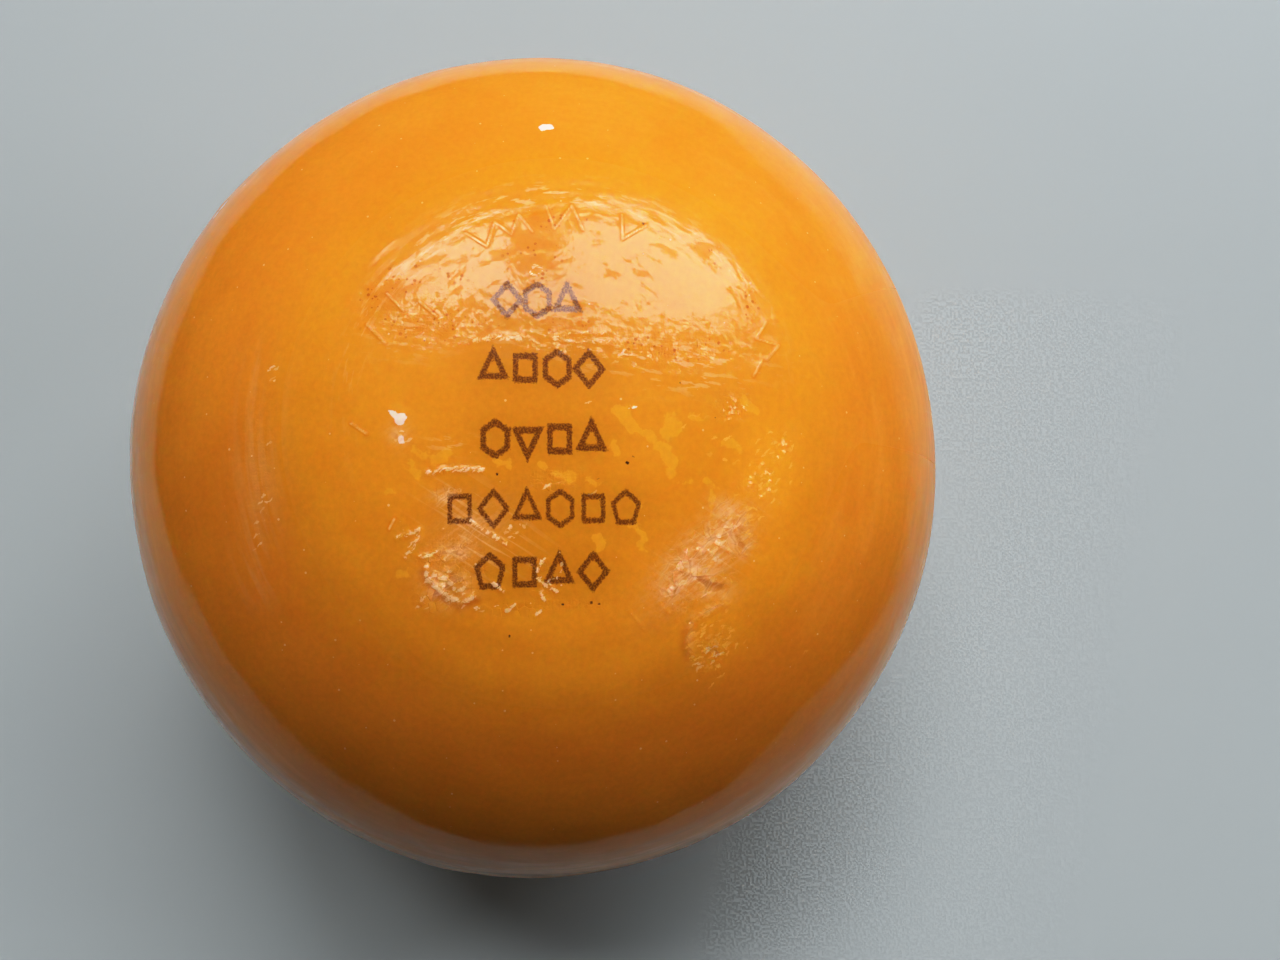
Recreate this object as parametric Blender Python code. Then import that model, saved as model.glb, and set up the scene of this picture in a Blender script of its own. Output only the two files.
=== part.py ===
"""A ball of pressed cheese in its coat of wax: one uncut piece, so one solid.

Metres, +Z up. The ball stands on its small flat spot, whose centre is the origin,
with the printed face on top. It is a little longer along Y than along X.
"""

import math

import bmesh
import bpy

# Driving dimensions, in metres.
MEAN_RADIUS = 0.0733         # round flank, halfway between its half widths along X and Y
FLANK_HALF_HEIGHT = 0.0705   # how high the flank would reach if it closed at the axis
FACE_RADIUS = 0.030          # from the axis to the edge of each pressed face, top and bottom
FACE_DOME_RADIUS = 0.130     # the pressed faces are shallow domes of this radius
FACE_EDGE_BLEND = 0.0013     # face and flank run together where they are this close in height
REST_RADIUS = 0.026          # the flat spot that the ball has settled on

# Unevenness left by the mould, as shares of the radius, each with the angle of its first peak.
OVAL_SHARE = 0.011
OVAL_ANGLE = math.radians(90)
THREE_LOBE_SHARE = 0.002
THREE_LOBE_ANGLE = math.radians(51)
FOUR_LOBE_SHARE = 0.0016
FOUR_LOBE_ANGLE = math.radians(64)

# Facets of the solid.
SEGMENTS = 72
RINGS = 52

# The wax.
WAX_COLOUR = (0.83, 0.25, 0.012, 1.0)
WAX_ROUGHNESS = 0.25


def circle_height(radius, distance):
    """Height of a circle of this radius above its centre, at this distance from the axis."""
    return math.sqrt(max(radius ** 2 - distance ** 2, 0.0))


def flank_height(distance):
    """Height of the flank above the ball's middle: half an ellipse turned round the axis."""
    return circle_height(MEAN_RADIUS, distance) * FLANK_HALF_HEIGHT / MEAN_RADIUS


def face_height(distance):
    """Height of a pressed face above the ball's middle: a shallow dome that meets the flank."""
    dome_centre = flank_height(FACE_RADIUS) - circle_height(FACE_DOME_RADIUS, FACE_RADIUS)
    return dome_centre + circle_height(FACE_DOME_RADIUS, distance)


def blended_lower(first, second, blend):
    """The lower of two heights, with a rounded corner where they differ by less than blend."""
    share = min(max(0.5 + 0.5 * (second - first) / blend, 0.0), 1.0)
    return second + (first - second) * share - blend * share * (1.0 - share)


def half_height(distance):
    """Height of the surface above the ball's middle: the flank, cut off by the pressed face."""
    return blended_lower(flank_height(distance), face_height(distance), FACE_EDGE_BLEND)


def swell(angle):
    """How much further out than a true circle the wall stands at this angle round the axis."""
    oval = OVAL_SHARE * math.cos(2 * (angle - OVAL_ANGLE))
    three_lobes = THREE_LOBE_SHARE * math.cos(3 * (angle - THREE_LOBE_ANGLE))
    four_lobes = FOUR_LOBE_SHARE * math.cos(4 * (angle - FOUR_LOBE_ANGLE))
    return 1.0 + oval + three_lobes + four_lobes


def surface_point(direction, middle_height):
    """Carry a point of a unit sphere to the cheese, and level what would lie below the floor."""
    distance = MEAN_RADIUS * math.hypot(direction.x, direction.y)
    angle = math.atan2(direction.y, direction.x)
    reach = distance * swell(angle)
    rise = math.copysign(half_height(distance), direction.z)
    return (
        reach * math.cos(angle),
        reach * math.sin(angle),
        max(middle_height + rise, 0.0),
    )


def wax_material():
    """Plain glossy orange for the solid."""
    material = bpy.data.materials.new("orange_wax")
    material.use_nodes = True
    shader = material.node_tree.nodes["Principled BSDF"]
    shader.inputs["Base Color"].default_value = WAX_COLOUR
    shader.inputs["Roughness"].default_value = WAX_ROUGHNESS
    shader.inputs["Metallic"].default_value = 0.0
    return material


def make_cheese_ball():
    """Press a sphere into shape: domed faces top and bottom, uneven wall, flat resting spot."""
    middle_height = half_height(REST_RADIUS)
    shape = bmesh.new()
    bmesh.ops.create_uvsphere(shape, u_segments=SEGMENTS, v_segments=RINGS, radius=1.0)
    for vertex in shape.verts:
        vertex.co = surface_point(vertex.co, middle_height)
    mesh = bpy.data.meshes.new("cheese_ball")
    shape.to_mesh(mesh)
    shape.free()
    mesh.shade_smooth()
    mesh.materials.append(wax_material())
    ball = bpy.data.objects.new("cheese_ball", mesh)
    bpy.context.scene.collection.objects.link(ball)
    return ball


def main():
    """Empty the scene and build the cheese."""
    for leftover in list(bpy.data.objects):
        bpy.data.objects.remove(leftover, do_unlink=True)
    make_cheese_ball()


main()
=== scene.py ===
# %% [markdown]
# # A ball of pressed cheese in clear glossy wax
#
# The real thing is one uncut ball of about 1.7 kg. It was pressed in a round mould, which
# left a shallow domed face on top and another below, and then dipped in clear wax over an
# orange rind. This script makes one closed surface that stands for the ball, with the
# wax's wrinkles, pits and scratches as relief, and one layered material on it.
#
# The construction solid was made before and is only loaded here. It fixes where the ball
# is and how large it is, so everything below is measured from its box.

# %% Load the frame
import math

import bpy
import numpy as np
from mathutils import Matrix, Vector


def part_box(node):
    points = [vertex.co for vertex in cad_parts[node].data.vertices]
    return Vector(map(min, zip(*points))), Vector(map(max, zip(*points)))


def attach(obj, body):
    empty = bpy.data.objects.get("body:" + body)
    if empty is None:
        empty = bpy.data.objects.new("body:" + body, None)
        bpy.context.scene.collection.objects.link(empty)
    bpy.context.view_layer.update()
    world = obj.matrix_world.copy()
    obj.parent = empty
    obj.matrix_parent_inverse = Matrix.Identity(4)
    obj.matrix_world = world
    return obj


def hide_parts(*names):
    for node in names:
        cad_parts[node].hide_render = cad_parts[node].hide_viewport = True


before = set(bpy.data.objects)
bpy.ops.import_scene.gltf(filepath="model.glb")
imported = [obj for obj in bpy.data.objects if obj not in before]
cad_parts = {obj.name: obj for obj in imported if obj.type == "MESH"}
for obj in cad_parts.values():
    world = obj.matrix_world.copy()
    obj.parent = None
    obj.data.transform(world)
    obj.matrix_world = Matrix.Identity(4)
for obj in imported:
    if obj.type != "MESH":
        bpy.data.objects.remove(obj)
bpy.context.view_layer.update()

MM = 0.001
low_corner, high_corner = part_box("cheese_ball")
ball_width = high_corner.x - low_corner.x
ball_length = high_corner.y - low_corner.y
ball_height = high_corner.z - low_corner.z
print(f"solid: {ball_width:.4f} x {ball_length:.4f} x {ball_height:.4f} m")

# %% [markdown]
# ## The pressed profile
#
# A pressed ball could be carved from a sphere with a cutter, but the real edge between
# the round flank and the pressed face is soft. Here both are height formulas over the
# distance from the axis, and the lower of the two is kept with a rounded corner. The
# shape lies a hair inside the solid, so that raised wax stays within its box.

# %% Heights over the distance from the axis
WAX_MARGIN = 0.12 * MM                 # the smooth surface lies this far inside the solid
MEAN_RADIUS = (ball_width + ball_length) / 4 - WAX_MARGIN
FLANK_SHARE = 0.0705 / 0.0733          # flank height over flank radius
FACE_RADIUS = 30.0 * MM                # edge of each pressed face
FACE_DOME_RADIUS = 130.0 * MM          # the pressed faces are shallow domes
FACE_EDGE_BLEND = 1.3 * MM             # face and flank run together over this height
REST_RADIUS = 26.0 * MM                # the flat spot that the ball stands on


def circle_height(radius, distance):
    """Height of a circle above its centre: the root of radius squared less distance squared."""
    return np.sqrt(np.maximum(radius ** 2 - distance ** 2, 0.0))


def flank_height(distance):
    """Round flank: a circle of the mean radius, flattened by the flank share."""
    return circle_height(MEAN_RADIUS, distance) * FLANK_SHARE


def face_height(distance):
    """Pressed face: a shallow dome, lowered until it meets the flank at the face's edge."""
    dome_centre = flank_height(FACE_RADIUS) - circle_height(FACE_DOME_RADIUS, FACE_RADIUS)
    return dome_centre + circle_height(FACE_DOME_RADIUS, distance)


def blended_lower(first, second, blend):
    """The lower of two heights, rounded where they differ by less than the blend."""
    share = np.clip(0.5 + 0.5 * (second - first) / blend, 0.0, 1.0)
    return second + (first - second) * share - blend * share * (1.0 - share)


def half_height(distance):
    """Surface above the ball's middle: the flank, cut off by the pressed face."""
    return blended_lower(flank_height(distance), face_height(distance), FACE_EDGE_BLEND)


middle_height = float(half_height(REST_RADIUS))
print(f"middle of the ball {middle_height:.4f} m above the table")

# %% [markdown]
# ## Out of round
#
# Cheese sags a little while it is pressed and turned, so the wall is not a true circle.
# One wave with two crests makes it oval, and two smaller ones with three and four crests
# take away the look of something turned on a lathe.

# %% Swell round the axis
OVAL_SHARE, OVAL_ANGLE = 0.011, math.radians(90)
THREE_LOBE_SHARE, THREE_LOBE_ANGLE = 0.002, math.radians(51)
FOUR_LOBE_SHARE, FOUR_LOBE_ANGLE = 0.0016, math.radians(64)


def swell(angle):
    """One plus three cosine waves, with two, three and four crests round the ball."""
    oval = OVAL_SHARE * np.cos(2 * (angle - OVAL_ANGLE))
    three_lobes = THREE_LOBE_SHARE * np.cos(3 * (angle - THREE_LOBE_ANGLE))
    four_lobes = FOUR_LOBE_SHARE * np.cos(4 * (angle - FOUR_LOBE_ANGLE))
    return 1.0 + oval + three_lobes + four_lobes


# %% [markdown]
# ## The camera
#
# The ball is seen nearly from above with a wide lens held close, 13 cm over the wax. The
# camera's three axes are worked out from where it stands and what it looks at, with the
# far side of the table as up, because the usual up, +Z, is almost the direction it looks
# in.

# %% Camera
CAMERA_OVER_MIDDLE = 201.8 * MM
CAMERA_SIDEWAYS = -6.5 * MM
CAMERA_BACK = -18.3 * MM
LOOK_AT_SIDEWAYS = 18.0 * MM
LOOK_AT_BACK = -2.3 * MM
CAMERA_TURN = math.radians(-0.43)
LENS_MM = 29.53
SENSOR_MM = 36.0


def aimed_matrix(place, target, up_hint):
    """Axes of a thing that looks along -Z: right is look crossed with up, up is right crossed with look."""
    look = (target - place).normalized()
    right = look.cross(up_hint).normalized()
    up = right.cross(look)
    turn = Matrix((right, up, -look)).transposed().to_4x4()
    return Matrix.Translation(place) @ turn


camera_data = bpy.data.cameras.new("camera")
camera_data.lens = LENS_MM
camera_data.sensor_width = SENSOR_MM
camera_data.clip_start = 0.01
camera = bpy.data.objects.new("camera", camera_data)
bpy.context.scene.collection.objects.link(camera)
camera.matrix_world = aimed_matrix(
    Vector((CAMERA_SIDEWAYS, CAMERA_BACK, middle_height + CAMERA_OVER_MIDDLE)),
    Vector((LOOK_AT_SIDEWAYS, LOOK_AT_BACK, middle_height)),
    Vector((-math.sin(CAMERA_TURN), math.cos(CAMERA_TURN), 0.0)),
)
bpy.context.scene.camera = camera
print(f"camera {camera.matrix_world.translation.z - ball_height:.3f} m above the top of the ball")

# %% [markdown]
# ## Light
#
# Daylight falls in from the far side through two tall windows with a narrow gap between
# them. A glossy ball shows its lights as shapes, so there are two sets: the panes are
# met only by mirror rays and draw the two broad highlights with the dark bar between,
# and the glows, which no mirror ray meets, shade the ball and lay its shadow on the
# table. Each set can then be placed for its own work. The camera sees neither. One more
# glow behind the windows is turned away from the ball and only keeps the far table pale.

# %% Lights and room
WINDOW_DISTANCE = 1.0                   # from the ball's axis to the plane of the lights
PANES = {
    # left, right, bottom and top edge, above the ball's top, in metres, and radiance
    "right_pane": (0.07, 1.15, 0.60, 2.15, 6.1),
    "left_outer_pane": (-0.92, -0.52, 0.78, 2.10, 6.2),
    "left_inner_pane": (-0.52, -0.17, 0.78, 1.90, 7.0),
    "middle_pane": (-0.17, 0.07, 1.62, 2.10, 6.2),
    "side_pane": (1.15, 1.60, 0.80, 1.90, 3.0),
}
GLOWS = {
    "left_glow": (-0.90, -0.30, 1.45, 2.15, 17.0),
    "middle_glow": (-0.30, 0.30, 0.65, 2.15, 7.9),
    "right_glow": (0.30, 0.90, 0.00, 2.15, 2.4),
    "outer_glow": (0.90, 1.50, 1.45, 2.15, 7.6),
}
TO_THE_BALL = (0, -1, 0)
SIDE_GLOW_PLACE = (1.6, 0.2, 0.7)       # the last one is over the ball's top
SIDE_GLOW_SIZE, SIDE_GLOW_FACING, SIDE_GLOW_RADIANCE = (0.9, 0.9), (-1, 0, -0.4), 1.7
FAR_GLOW_PLACE = (0.0, 1.10, 1.3)
FAR_GLOW_SIZE, FAR_GLOW_FACING, FAR_GLOW_RADIANCE = (3.4, 1.2), (0, 1, -0.8), 3.6
LIGHT_COLOUR = (0.985, 0.945, 1.0)
WATTS_PER_RADIANCE = 4.0                # an area light's power, per unit of radiance and square metre
ROOM_COLOUR = (0.026, 0.022, 0.018, 1.0)


def add_soft_light(name, radiance, place, size, facing, seen_in_gloss):
    """A rectangle of light of this radiance: power is radiance times area, times a constant."""
    data = bpy.data.lights.new(name, "AREA")
    data.shape = "RECTANGLE"
    data.size, data.size_y = size
    data.color = LIGHT_COLOUR
    data.energy = radiance * WATTS_PER_RADIANCE * size[0] * size[1]
    # Scattered rays look for panes only: a pane in front of a glow would otherwise hide part of it.
    data.cycles.use_multiple_importance_sampling = seen_in_gloss
    light = bpy.data.objects.new(name, data)
    bpy.context.scene.collection.objects.link(light)
    place = Vector(place)
    light.matrix_world = aimed_matrix(place, place + Vector(facing), Vector((0, 0, 1)))
    light.visible_camera = False
    light.visible_glossy = seen_in_gloss
    light.visible_diffuse = not seen_in_gloss
    return light


for windows, seen_in_gloss in ((PANES, True), (GLOWS, False)):
    for name, (left, right, bottom, top, radiance) in windows.items():
        place = ((left + right) / 2, WINDOW_DISTANCE, ball_height + (bottom + top) / 2)
        add_soft_light(name, radiance, place, (right - left, top - bottom), TO_THE_BALL, seen_in_gloss)
side_x, side_y, side_over_ball = SIDE_GLOW_PLACE
side_place = (side_x, side_y, ball_height + side_over_ball)
add_soft_light("side_glow", SIDE_GLOW_RADIANCE, side_place, SIDE_GLOW_SIZE, SIDE_GLOW_FACING, False)
add_soft_light("far_glow", FAR_GLOW_RADIANCE, FAR_GLOW_PLACE, FAR_GLOW_SIZE, FAR_GLOW_FACING, False)
world = bpy.data.worlds.new("room")
world.use_nodes = True
world.node_tree.nodes["Background"].inputs["Color"].default_value = ROOM_COLOUR
bpy.context.scene.world = world
print(len(PANES), "panes for the gloss,", len(GLOWS) + 2, "glows for the shading and a dim room")

# %% [markdown]
# ## Exposure
#
# A camera doesn't record light in straight proportion: deep shade comes out a little
# darker than it is and the brightest orange is held back. One curve over all three
# colours gives the same roll off, and leaves the middle tones as they are.

# %% Response curve
RESPONSE = ((0.06, 0.032), (0.14, 0.093), (0.28, 0.235), (0.50, 0.48), (0.80, 0.79), (1.10, 0.94))
BRIGHTEST = 1.60

view = bpy.context.scene.view_settings
view.view_transform = "Standard"
view.use_curve_mapping = True
view.curve_mapping.use_clip = False
view.curve_mapping.clip_max_x = BRIGHTEST
response = view.curve_mapping.curves[3]
response.points[1].location = (BRIGHTEST, 1.0)
for light_in, light_out in RESPONSE:
    response.points.new(light_in, light_out)
view.curve_mapping.update()
print([round(view.curve_mapping.evaluate(response, level), 3) for level in (0.02, 0.1, 0.5, 1.0, 1.5)])

# %% [markdown]
# ## Recipes
#
# A procedural material is a graph of nodes, but it is easier to read as a formula. So a
# signal stands for one number of the graph, and adding or multiplying signals adds the
# node that does it. A recipe is a material with one short method for each kind of node
# that is used below.

# %% Signals and recipes
class Signal:
    """One number of a material's graph. Arithmetic on it adds a math node to the same recipe."""

    def __init__(self, recipe, socket):
        self.recipe = recipe
        self.socket = socket

    def math(self, operation, first, second):
        """The math node of this operation on two numbers."""
        node = self.recipe.add("ShaderNodeMath", {0: first, 1: second}, operation=operation)
        return Signal(self.recipe, node.outputs[0])

    def __add__(self, other):
        return self.math("ADD", self, other)

    def __radd__(self, other):
        return self.math("ADD", other, self)

    def __sub__(self, other):
        return self.math("SUBTRACT", self, other)

    def __rsub__(self, other):
        return self.math("SUBTRACT", other, self)

    def __mul__(self, other):
        return self.math("MULTIPLY", self, other)

    def remap(self, low, high, to_low=0.0, to_high=1.0, smooth=True):
        """Stretch from one range to another and clamp there, with eased ends if smooth."""
        node = self.recipe.add("ShaderNodeMapRange", {
            "Value": self, "From Min": low, "From Max": high, "To Min": to_low, "To Max": to_high,
        }, interpolation_type="SMOOTHSTEP" if smooth else "LINEAR")
        return Signal(self.recipe, node.outputs["Result"])

    def under(self, other):
        """One where this is less than the other, else nothing."""
        return self.math("LESS_THAN", self, other)

    def most(self, other):
        """The greater of the two."""
        return self.math("MAXIMUM", self, other)

    def falling(self, low, high):
        """One up to the low value, nothing from the high one on, with eased ends."""
        return 1.0 - self.remap(low, high)


class Recipe:
    """A node material, with a method for each kind of node that the recipes use."""

    def __init__(self, name):
        self.material = bpy.data.materials.new(name)
        self.material.use_nodes = True
        self.tree = self.material.node_tree
        self.shader = self.tree.nodes["Principled BSDF"]

    def set_shader(self, **inputs):
        """Give the shader's inputs a link or a value. Their names are written with underscores."""
        for name, value in inputs.items():
            self.fill(self.shader, name.replace("_", " "), value)

    def fill(self, node, name, value):
        """Link an input if it gets a signal or a socket, and set it otherwise."""
        value = getattr(value, "socket", value)
        if isinstance(value, bpy.types.NodeSocket):
            self.tree.links.new(value, node.inputs[name])
        else:
            node.inputs[name].default_value = value

    def add(self, kind, inputs=None, **settings):
        """Add a node with these properties and inputs."""
        node = self.tree.nodes.new(kind)
        for name, value in settings.items():
            setattr(node, name, value)
        for name, value in (inputs or {}).items():
            self.fill(node, name, value)
        return node

    def mix(self, share, first, second, blend="MIX"):
        """Blend two colours by a share from 0, all first, to 1, all second."""
        node = self.add("ShaderNodeMix", data_type="RGBA", blend_type=blend)
        for index, value in ((0, share), (6, first), (7, second)):
            self.fill(node, index, value)
        return node.outputs[2]

    def vector(self, operation, *inputs):
        """A vector math node."""
        return self.add("ShaderNodeVectorMath", dict(enumerate(inputs)), operation=operation)

    def scaled(self, vector, factor):
        """All three parts of a vector or a colour times one factor."""
        inputs = {0: vector, "Scale": factor}
        return self.add("ShaderNodeVectorMath", inputs, operation="SCALE").outputs[0]

    def noise(self, places, per_metre, detail=2.0, roughness=0.5, flat=False):
        """Soft random pattern, this many cells to a metre. A flat one looks only at x and y."""
        node = self.add("ShaderNodeTexNoise", {
            "Vector": places, "Scale": per_metre, "Detail": detail, "Roughness": roughness,
        }, noise_dimensions="2D" if flat else "3D")
        return Signal(self, node.outputs["Fac"])

    def cells(self, places, per_metre):
        """Flat cell pattern: distance to the cell's middle, and three random numbers for each cell."""
        inputs = {"Vector": places, "Scale": per_metre}
        node = self.add("ShaderNodeTexVoronoi", inputs, voronoi_dimensions="2D")
        numbers = self.add("ShaderNodeSeparateColor", {"Color": node.outputs["Color"]}).outputs
        return Signal(self, node.outputs["Distance"]), [Signal(self, number) for number in numbers]

    def stored(self, name):
        """A number that the mesh carries at each of its points."""
        return Signal(self, self.add("ShaderNodeAttribute", attribute_name=name).outputs["Fac"])

    def stored_place(self, name):
        """A place that the mesh carries at each of its points."""
        return self.add("ShaderNodeAttribute", attribute_name=name).outputs["Vector"]

    def object_place(self):
        """The point's own place on the object."""
        return self.add("ShaderNodeTexCoord").outputs["Object"]

    def drawn_out(self, places, turn, stretch):
        """Places turned by an angle and drawn out along it, so that a pattern's cells become threads."""
        return self.add("ShaderNodeMapping", {
            "Vector": places, "Rotation": (0.0, 0.0, math.radians(turn)), "Scale": (stretch, 1.0, 1.0),
        }, vector_type="TEXTURE").outputs[0]


print("recipes ready")

# %% [markdown]
# ## The table
#
# A pale, faintly blue grey laminate. It is only a stage, so one large square with a very
# quiet mottle is enough; its real work is to bounce light under the ball and to show as
# a pale band in the wax along the ball's rim.

# %% Table
TABLE_HALF_SIZE = 3.0
TABLE_COLOUR = (0.45, 0.515, 0.505, 1.0)
TABLE_COLOUR_DULL = (0.435, 0.50, 0.49, 1.0)

table_mesh = bpy.data.meshes.new("table")
half = TABLE_HALF_SIZE
table_corners = [(-half, -half, 0), (half, -half, 0), (half, half, 0), (-half, half, 0)]
table_mesh.from_pydata(table_corners, [], [(0, 1, 2, 3)])
table = bpy.data.objects.new("table", table_mesh)
bpy.context.scene.collection.objects.link(table)
laminate = Recipe("pale_laminate")
mottle = laminate.noise(laminate.object_place(), per_metre=14.0, detail=3.0)
mottled = laminate.mix(mottle, TABLE_COLOUR, TABLE_COLOUR_DULL)
laminate.set_shader(Base_Color=mottled, Roughness=0.62, Specular_IOR_Level=0.2)
table_mesh.materials.append(laminate.material)
print("table", 2 * TABLE_HALF_SIZE, "m wide")

# %% [markdown]
# Just inside the table's edge stands a plain pale wall. Only the camera meets it, so it
# gives the ball a quiet background from the side and changes neither the light nor the
# gloss.

# %% Backdrop
WALL_DISTANCE, WALL_HEIGHT, WALL_COLUMNS = 2.9, 4.0, 96
WALL_COLOUR = (0.30, 0.335, 0.335, 1.0)
BLACK = (0.0, 0.0, 0.0, 1.0)


def standing_band(name, reach, height):
    """An upright band round the axis at these distances, from the table up to a height."""
    columns = len(reach)
    angles = 2 * math.pi * np.arange(columns) / columns
    ring = np.stack([reach * np.cos(angles), reach * np.sin(angles)], axis=1)
    points = np.concatenate([np.insert(ring, 2, 0.0, axis=1), np.insert(ring, 2, height, axis=1)])
    step = np.arange(columns)
    after = (step + 1) % columns
    faces = np.stack([step, after, columns + after, columns + step], axis=1)
    mesh = bpy.data.meshes.new(name)
    mesh.from_pydata(points.tolist(), [], faces.tolist())
    mesh.shade_smooth()
    band = bpy.data.objects.new(name, mesh)
    bpy.context.scene.collection.objects.link(band)
    return band


wall = standing_band("pale_wall", np.full(WALL_COLUMNS, WALL_DISTANCE), WALL_HEIGHT)
paint = Recipe("pale_wall")
paint.set_shader(Base_Color=BLACK, Specular_IOR_Level=0.0, Emission_Color=WALL_COLOUR, Emission_Strength=1.0)
wall.data.materials.append(paint.material)
for rays in ("diffuse", "glossy", "transmission", "volume_scatter", "shadow"):
    setattr(wall, f"visible_{rays}", False)
print("wall", WALL_DISTANCE, "m from the axis")

# %% [markdown]
# ## A dark surround for the gloss
#
# A real table soon ends and the room past it is dark, and that is what the wax's flanks
# reflect. A ring of black card stands in for it: only mirror rays meet it, so it dims no
# light and is never seen itself. Inside the ring the wax still shows the pale table, as a band
# along the rim, so the card's distance at each angle sets how broad the band is there.

# %% Black card round the ball
CARD_REACH = {
    # angle round the axis (degrees): distance from the axis (metres)
    0: 0.265, 25: 0.31, 50: 0.36, 65: 0.24, 90: 0.215, 115: 0.205, 135: 0.222, 160: 0.235,
    180: 0.205, 200: 0.27, 218: 0.30, 233: 0.285, 247: 0.26, 270: 0.235, 300: 0.27, 312: 0.34,
    321: 0.38, 338: 0.255, 350: 0.235,
}
CARD_HEIGHT = 0.180
CARD_COLUMNS = 96
CARD_COLOUR = (0.02, 0.02, 0.02, 1.0)

card_angles = 2 * math.pi * np.arange(CARD_COLUMNS) / CARD_COLUMNS
card_reach = np.interp(np.degrees(card_angles), list(CARD_REACH), list(CARD_REACH.values()), period=360)
black_card = standing_band("black_card", card_reach, CARD_HEIGHT)
black = Recipe("black_card")
black.set_shader(Base_Color=CARD_COLOUR, Roughness=1.0)
black_card.data.materials.append(black.material)
for rays in ("camera", "diffuse", "transmission", "shadow"):
    setattr(black_card, f"visible_{rays}", False)
print(f"card ring {card_reach.min():.2f} to {card_reach.max():.2f} m from the axis")

# %% [markdown]
# ## The ball's mesh
#
# A plain sphere spends as many faces underneath as on the face, where the fine relief
# is. This grid is worked out in bands from the top pole to the bottom one: each band has
# its own ring step and number of columns, and the columns double or halve from one band
# to the next, so that one closed skin is fine where the wax has detail.

# %% Rings and columns of the skin
FINE_BANDS = (
    # to this distance from the axis, ring step, columns
    (9.0 * MM, 0.36 * MM, 160),
    (21.0 * MM, 0.34 * MM, 320),
    (36.0 * MM, 0.27 * MM, 640),
)
FLANK_STEP, FLANK_COLUMNS = 1.15 * MM, 320
UNDER_STEP, UNDER_COLUMNS = 1.9 * MM, 160
UNDER_START = math.radians(125)


def ring_angles():
    """Angle from the top pole and column count of every ring, worked out band by band."""
    bands = [(math.asin(reach / MEAN_RADIUS), step, count) for reach, step, count in FINE_BANDS]
    bands += [(UNDER_START, FLANK_STEP, FLANK_COLUMNS), (math.pi, UNDER_STEP, UNDER_COLUMNS)]
    angles, columns = [], []
    start = 0.0
    for end, step, count in bands:
        rings = max(round((end - start) * MEAN_RADIUS / step), 1)
        angles.append(np.linspace(start, end, rings + 1)[1:])
        columns.append(np.full(rings, count))
        start = end
    # the last ring would be the bottom pole itself
    return np.concatenate(angles)[:-1], np.concatenate(columns)[:-1]


polar_angles, ring_columns = ring_angles()
print(f"{len(polar_angles)} rings, {ring_columns.min()} to {ring_columns.max()} columns")

# %% [markdown]
# A point's place follows from its angle from the pole and its angle round the axis. The
# faces between two rings are quads; where the columns double or halve, each wedge is one
# five sided face, so no crack opens.

# %% Points and faces of the skin
def ball_points(polar, around):
    """Distance is radius times sine, reach is distance times swell, height is middle plus or less rise."""
    distance = MEAN_RADIUS * np.sin(polar)
    reach = distance * swell(around)
    rise = np.where(polar < math.pi / 2, 1.0, -1.0) * half_height(distance)
    height = np.maximum(middle_height + rise, 0.0)
    return np.stack([reach * np.cos(around), reach * np.sin(around), height], axis=1)


def skin_faces(columns):
    """Join each ring to the next, with a fan at each pole. The first and last points are the poles."""
    first = np.concatenate([[1], 1 + np.cumsum(columns)])
    faces = []
    top = np.arange(columns[0])
    faces += np.stack([0 * top, 1 + top, 1 + (top + 1) % columns[0]], axis=1).tolist()
    for ring in range(len(columns) - 1):
        inner, outer = columns[ring], columns[ring + 1]
        a, b = first[ring], first[ring + 1]
        k = np.arange(min(inner, outer))
        if inner == outer:
            wedge = [a + k, b + k, b + (k + 1) % outer, a + (k + 1) % inner]
        elif inner < outer:
            wedge = [a + k, b + 2 * k, b + 2 * k + 1, b + (2 * k + 2) % outer, a + (k + 1) % inner]
        else:
            wedge = [a + 2 * k, b + k, b + (k + 1) % outer, a + (2 * k + 2) % inner, a + 2 * k + 1]
        faces += np.stack(wedge, axis=1).tolist()
    bottom, a, last = np.arange(columns[-1]), first[-2], first[-1]
    faces += np.stack([a + bottom, 0 * bottom + last, a + (bottom + 1) % columns[-1]], axis=1).tolist()
    return faces


around = np.concatenate([2 * math.pi * np.arange(count) / count for count in ring_columns])
polar = np.repeat(polar_angles, ring_columns)
polar = np.concatenate([[0.0], polar, [math.pi]])
around = np.concatenate([[0.0], around, [0.0]])
smooth_points = ball_points(polar, around)
skin = bpy.data.meshes.new("waxed_ball")
skin.from_pydata(smooth_points.tolist(), [], skin_faces(ring_columns))
skin.shade_smooth()
normals = np.zeros(3 * len(skin.vertices), np.float32)
skin.vertex_normals.foreach_get("vector", normals)
normals = normals.reshape(-1, 3).astype(float)
triangles = sum(len(face.vertices) - 2 for face in skin.polygons)
print(f"skin: {len(smooth_points)} points, {triangles} triangles")

# %% [markdown]
# ## How relief is worked out
#
# The wax is not smooth: it sagged, wrinkled and was scratched. Each kind of mark is a
# height in millimetres over the smooth skin, worked out for all points at once, and the
# heights are simply added. Two helpers serve most of them: random waves for what has no
# clear outline, and the distance to a bent line for ridges and grooves. What the material
# needs to know, such as where the ink is, is stored on the points under a name.

# %% Random waves and soft spots
skin_mm = smooth_points / MM
face_x, face_y, above_table = skin_mm.T
from_axis = np.hypot(face_x, face_y)
azimuth = np.arctan2(face_y, face_x)
on_top = smooth_points[:, 2] > middle_height
FAR_AWAY = 1000.0


def random_waves(points, wave_length, seed, count=28):
    """Sum of plane waves in random directions, of about this length, scaled to a spread of about one."""
    random = np.random.default_rng(seed)
    directions = random.normal(size=(count, points.shape[1]))
    directions /= np.linalg.norm(directions, axis=1, keepdims=True)
    lengths = wave_length * random.uniform(0.7, 1.5, count)
    phases = random.uniform(0.0, 2 * math.pi, count)
    angles = points @ (2 * math.pi * directions / lengths[:, None]).T + phases
    return np.cos(angles).sum(axis=1) * math.sqrt(2.0 / count)


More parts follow.
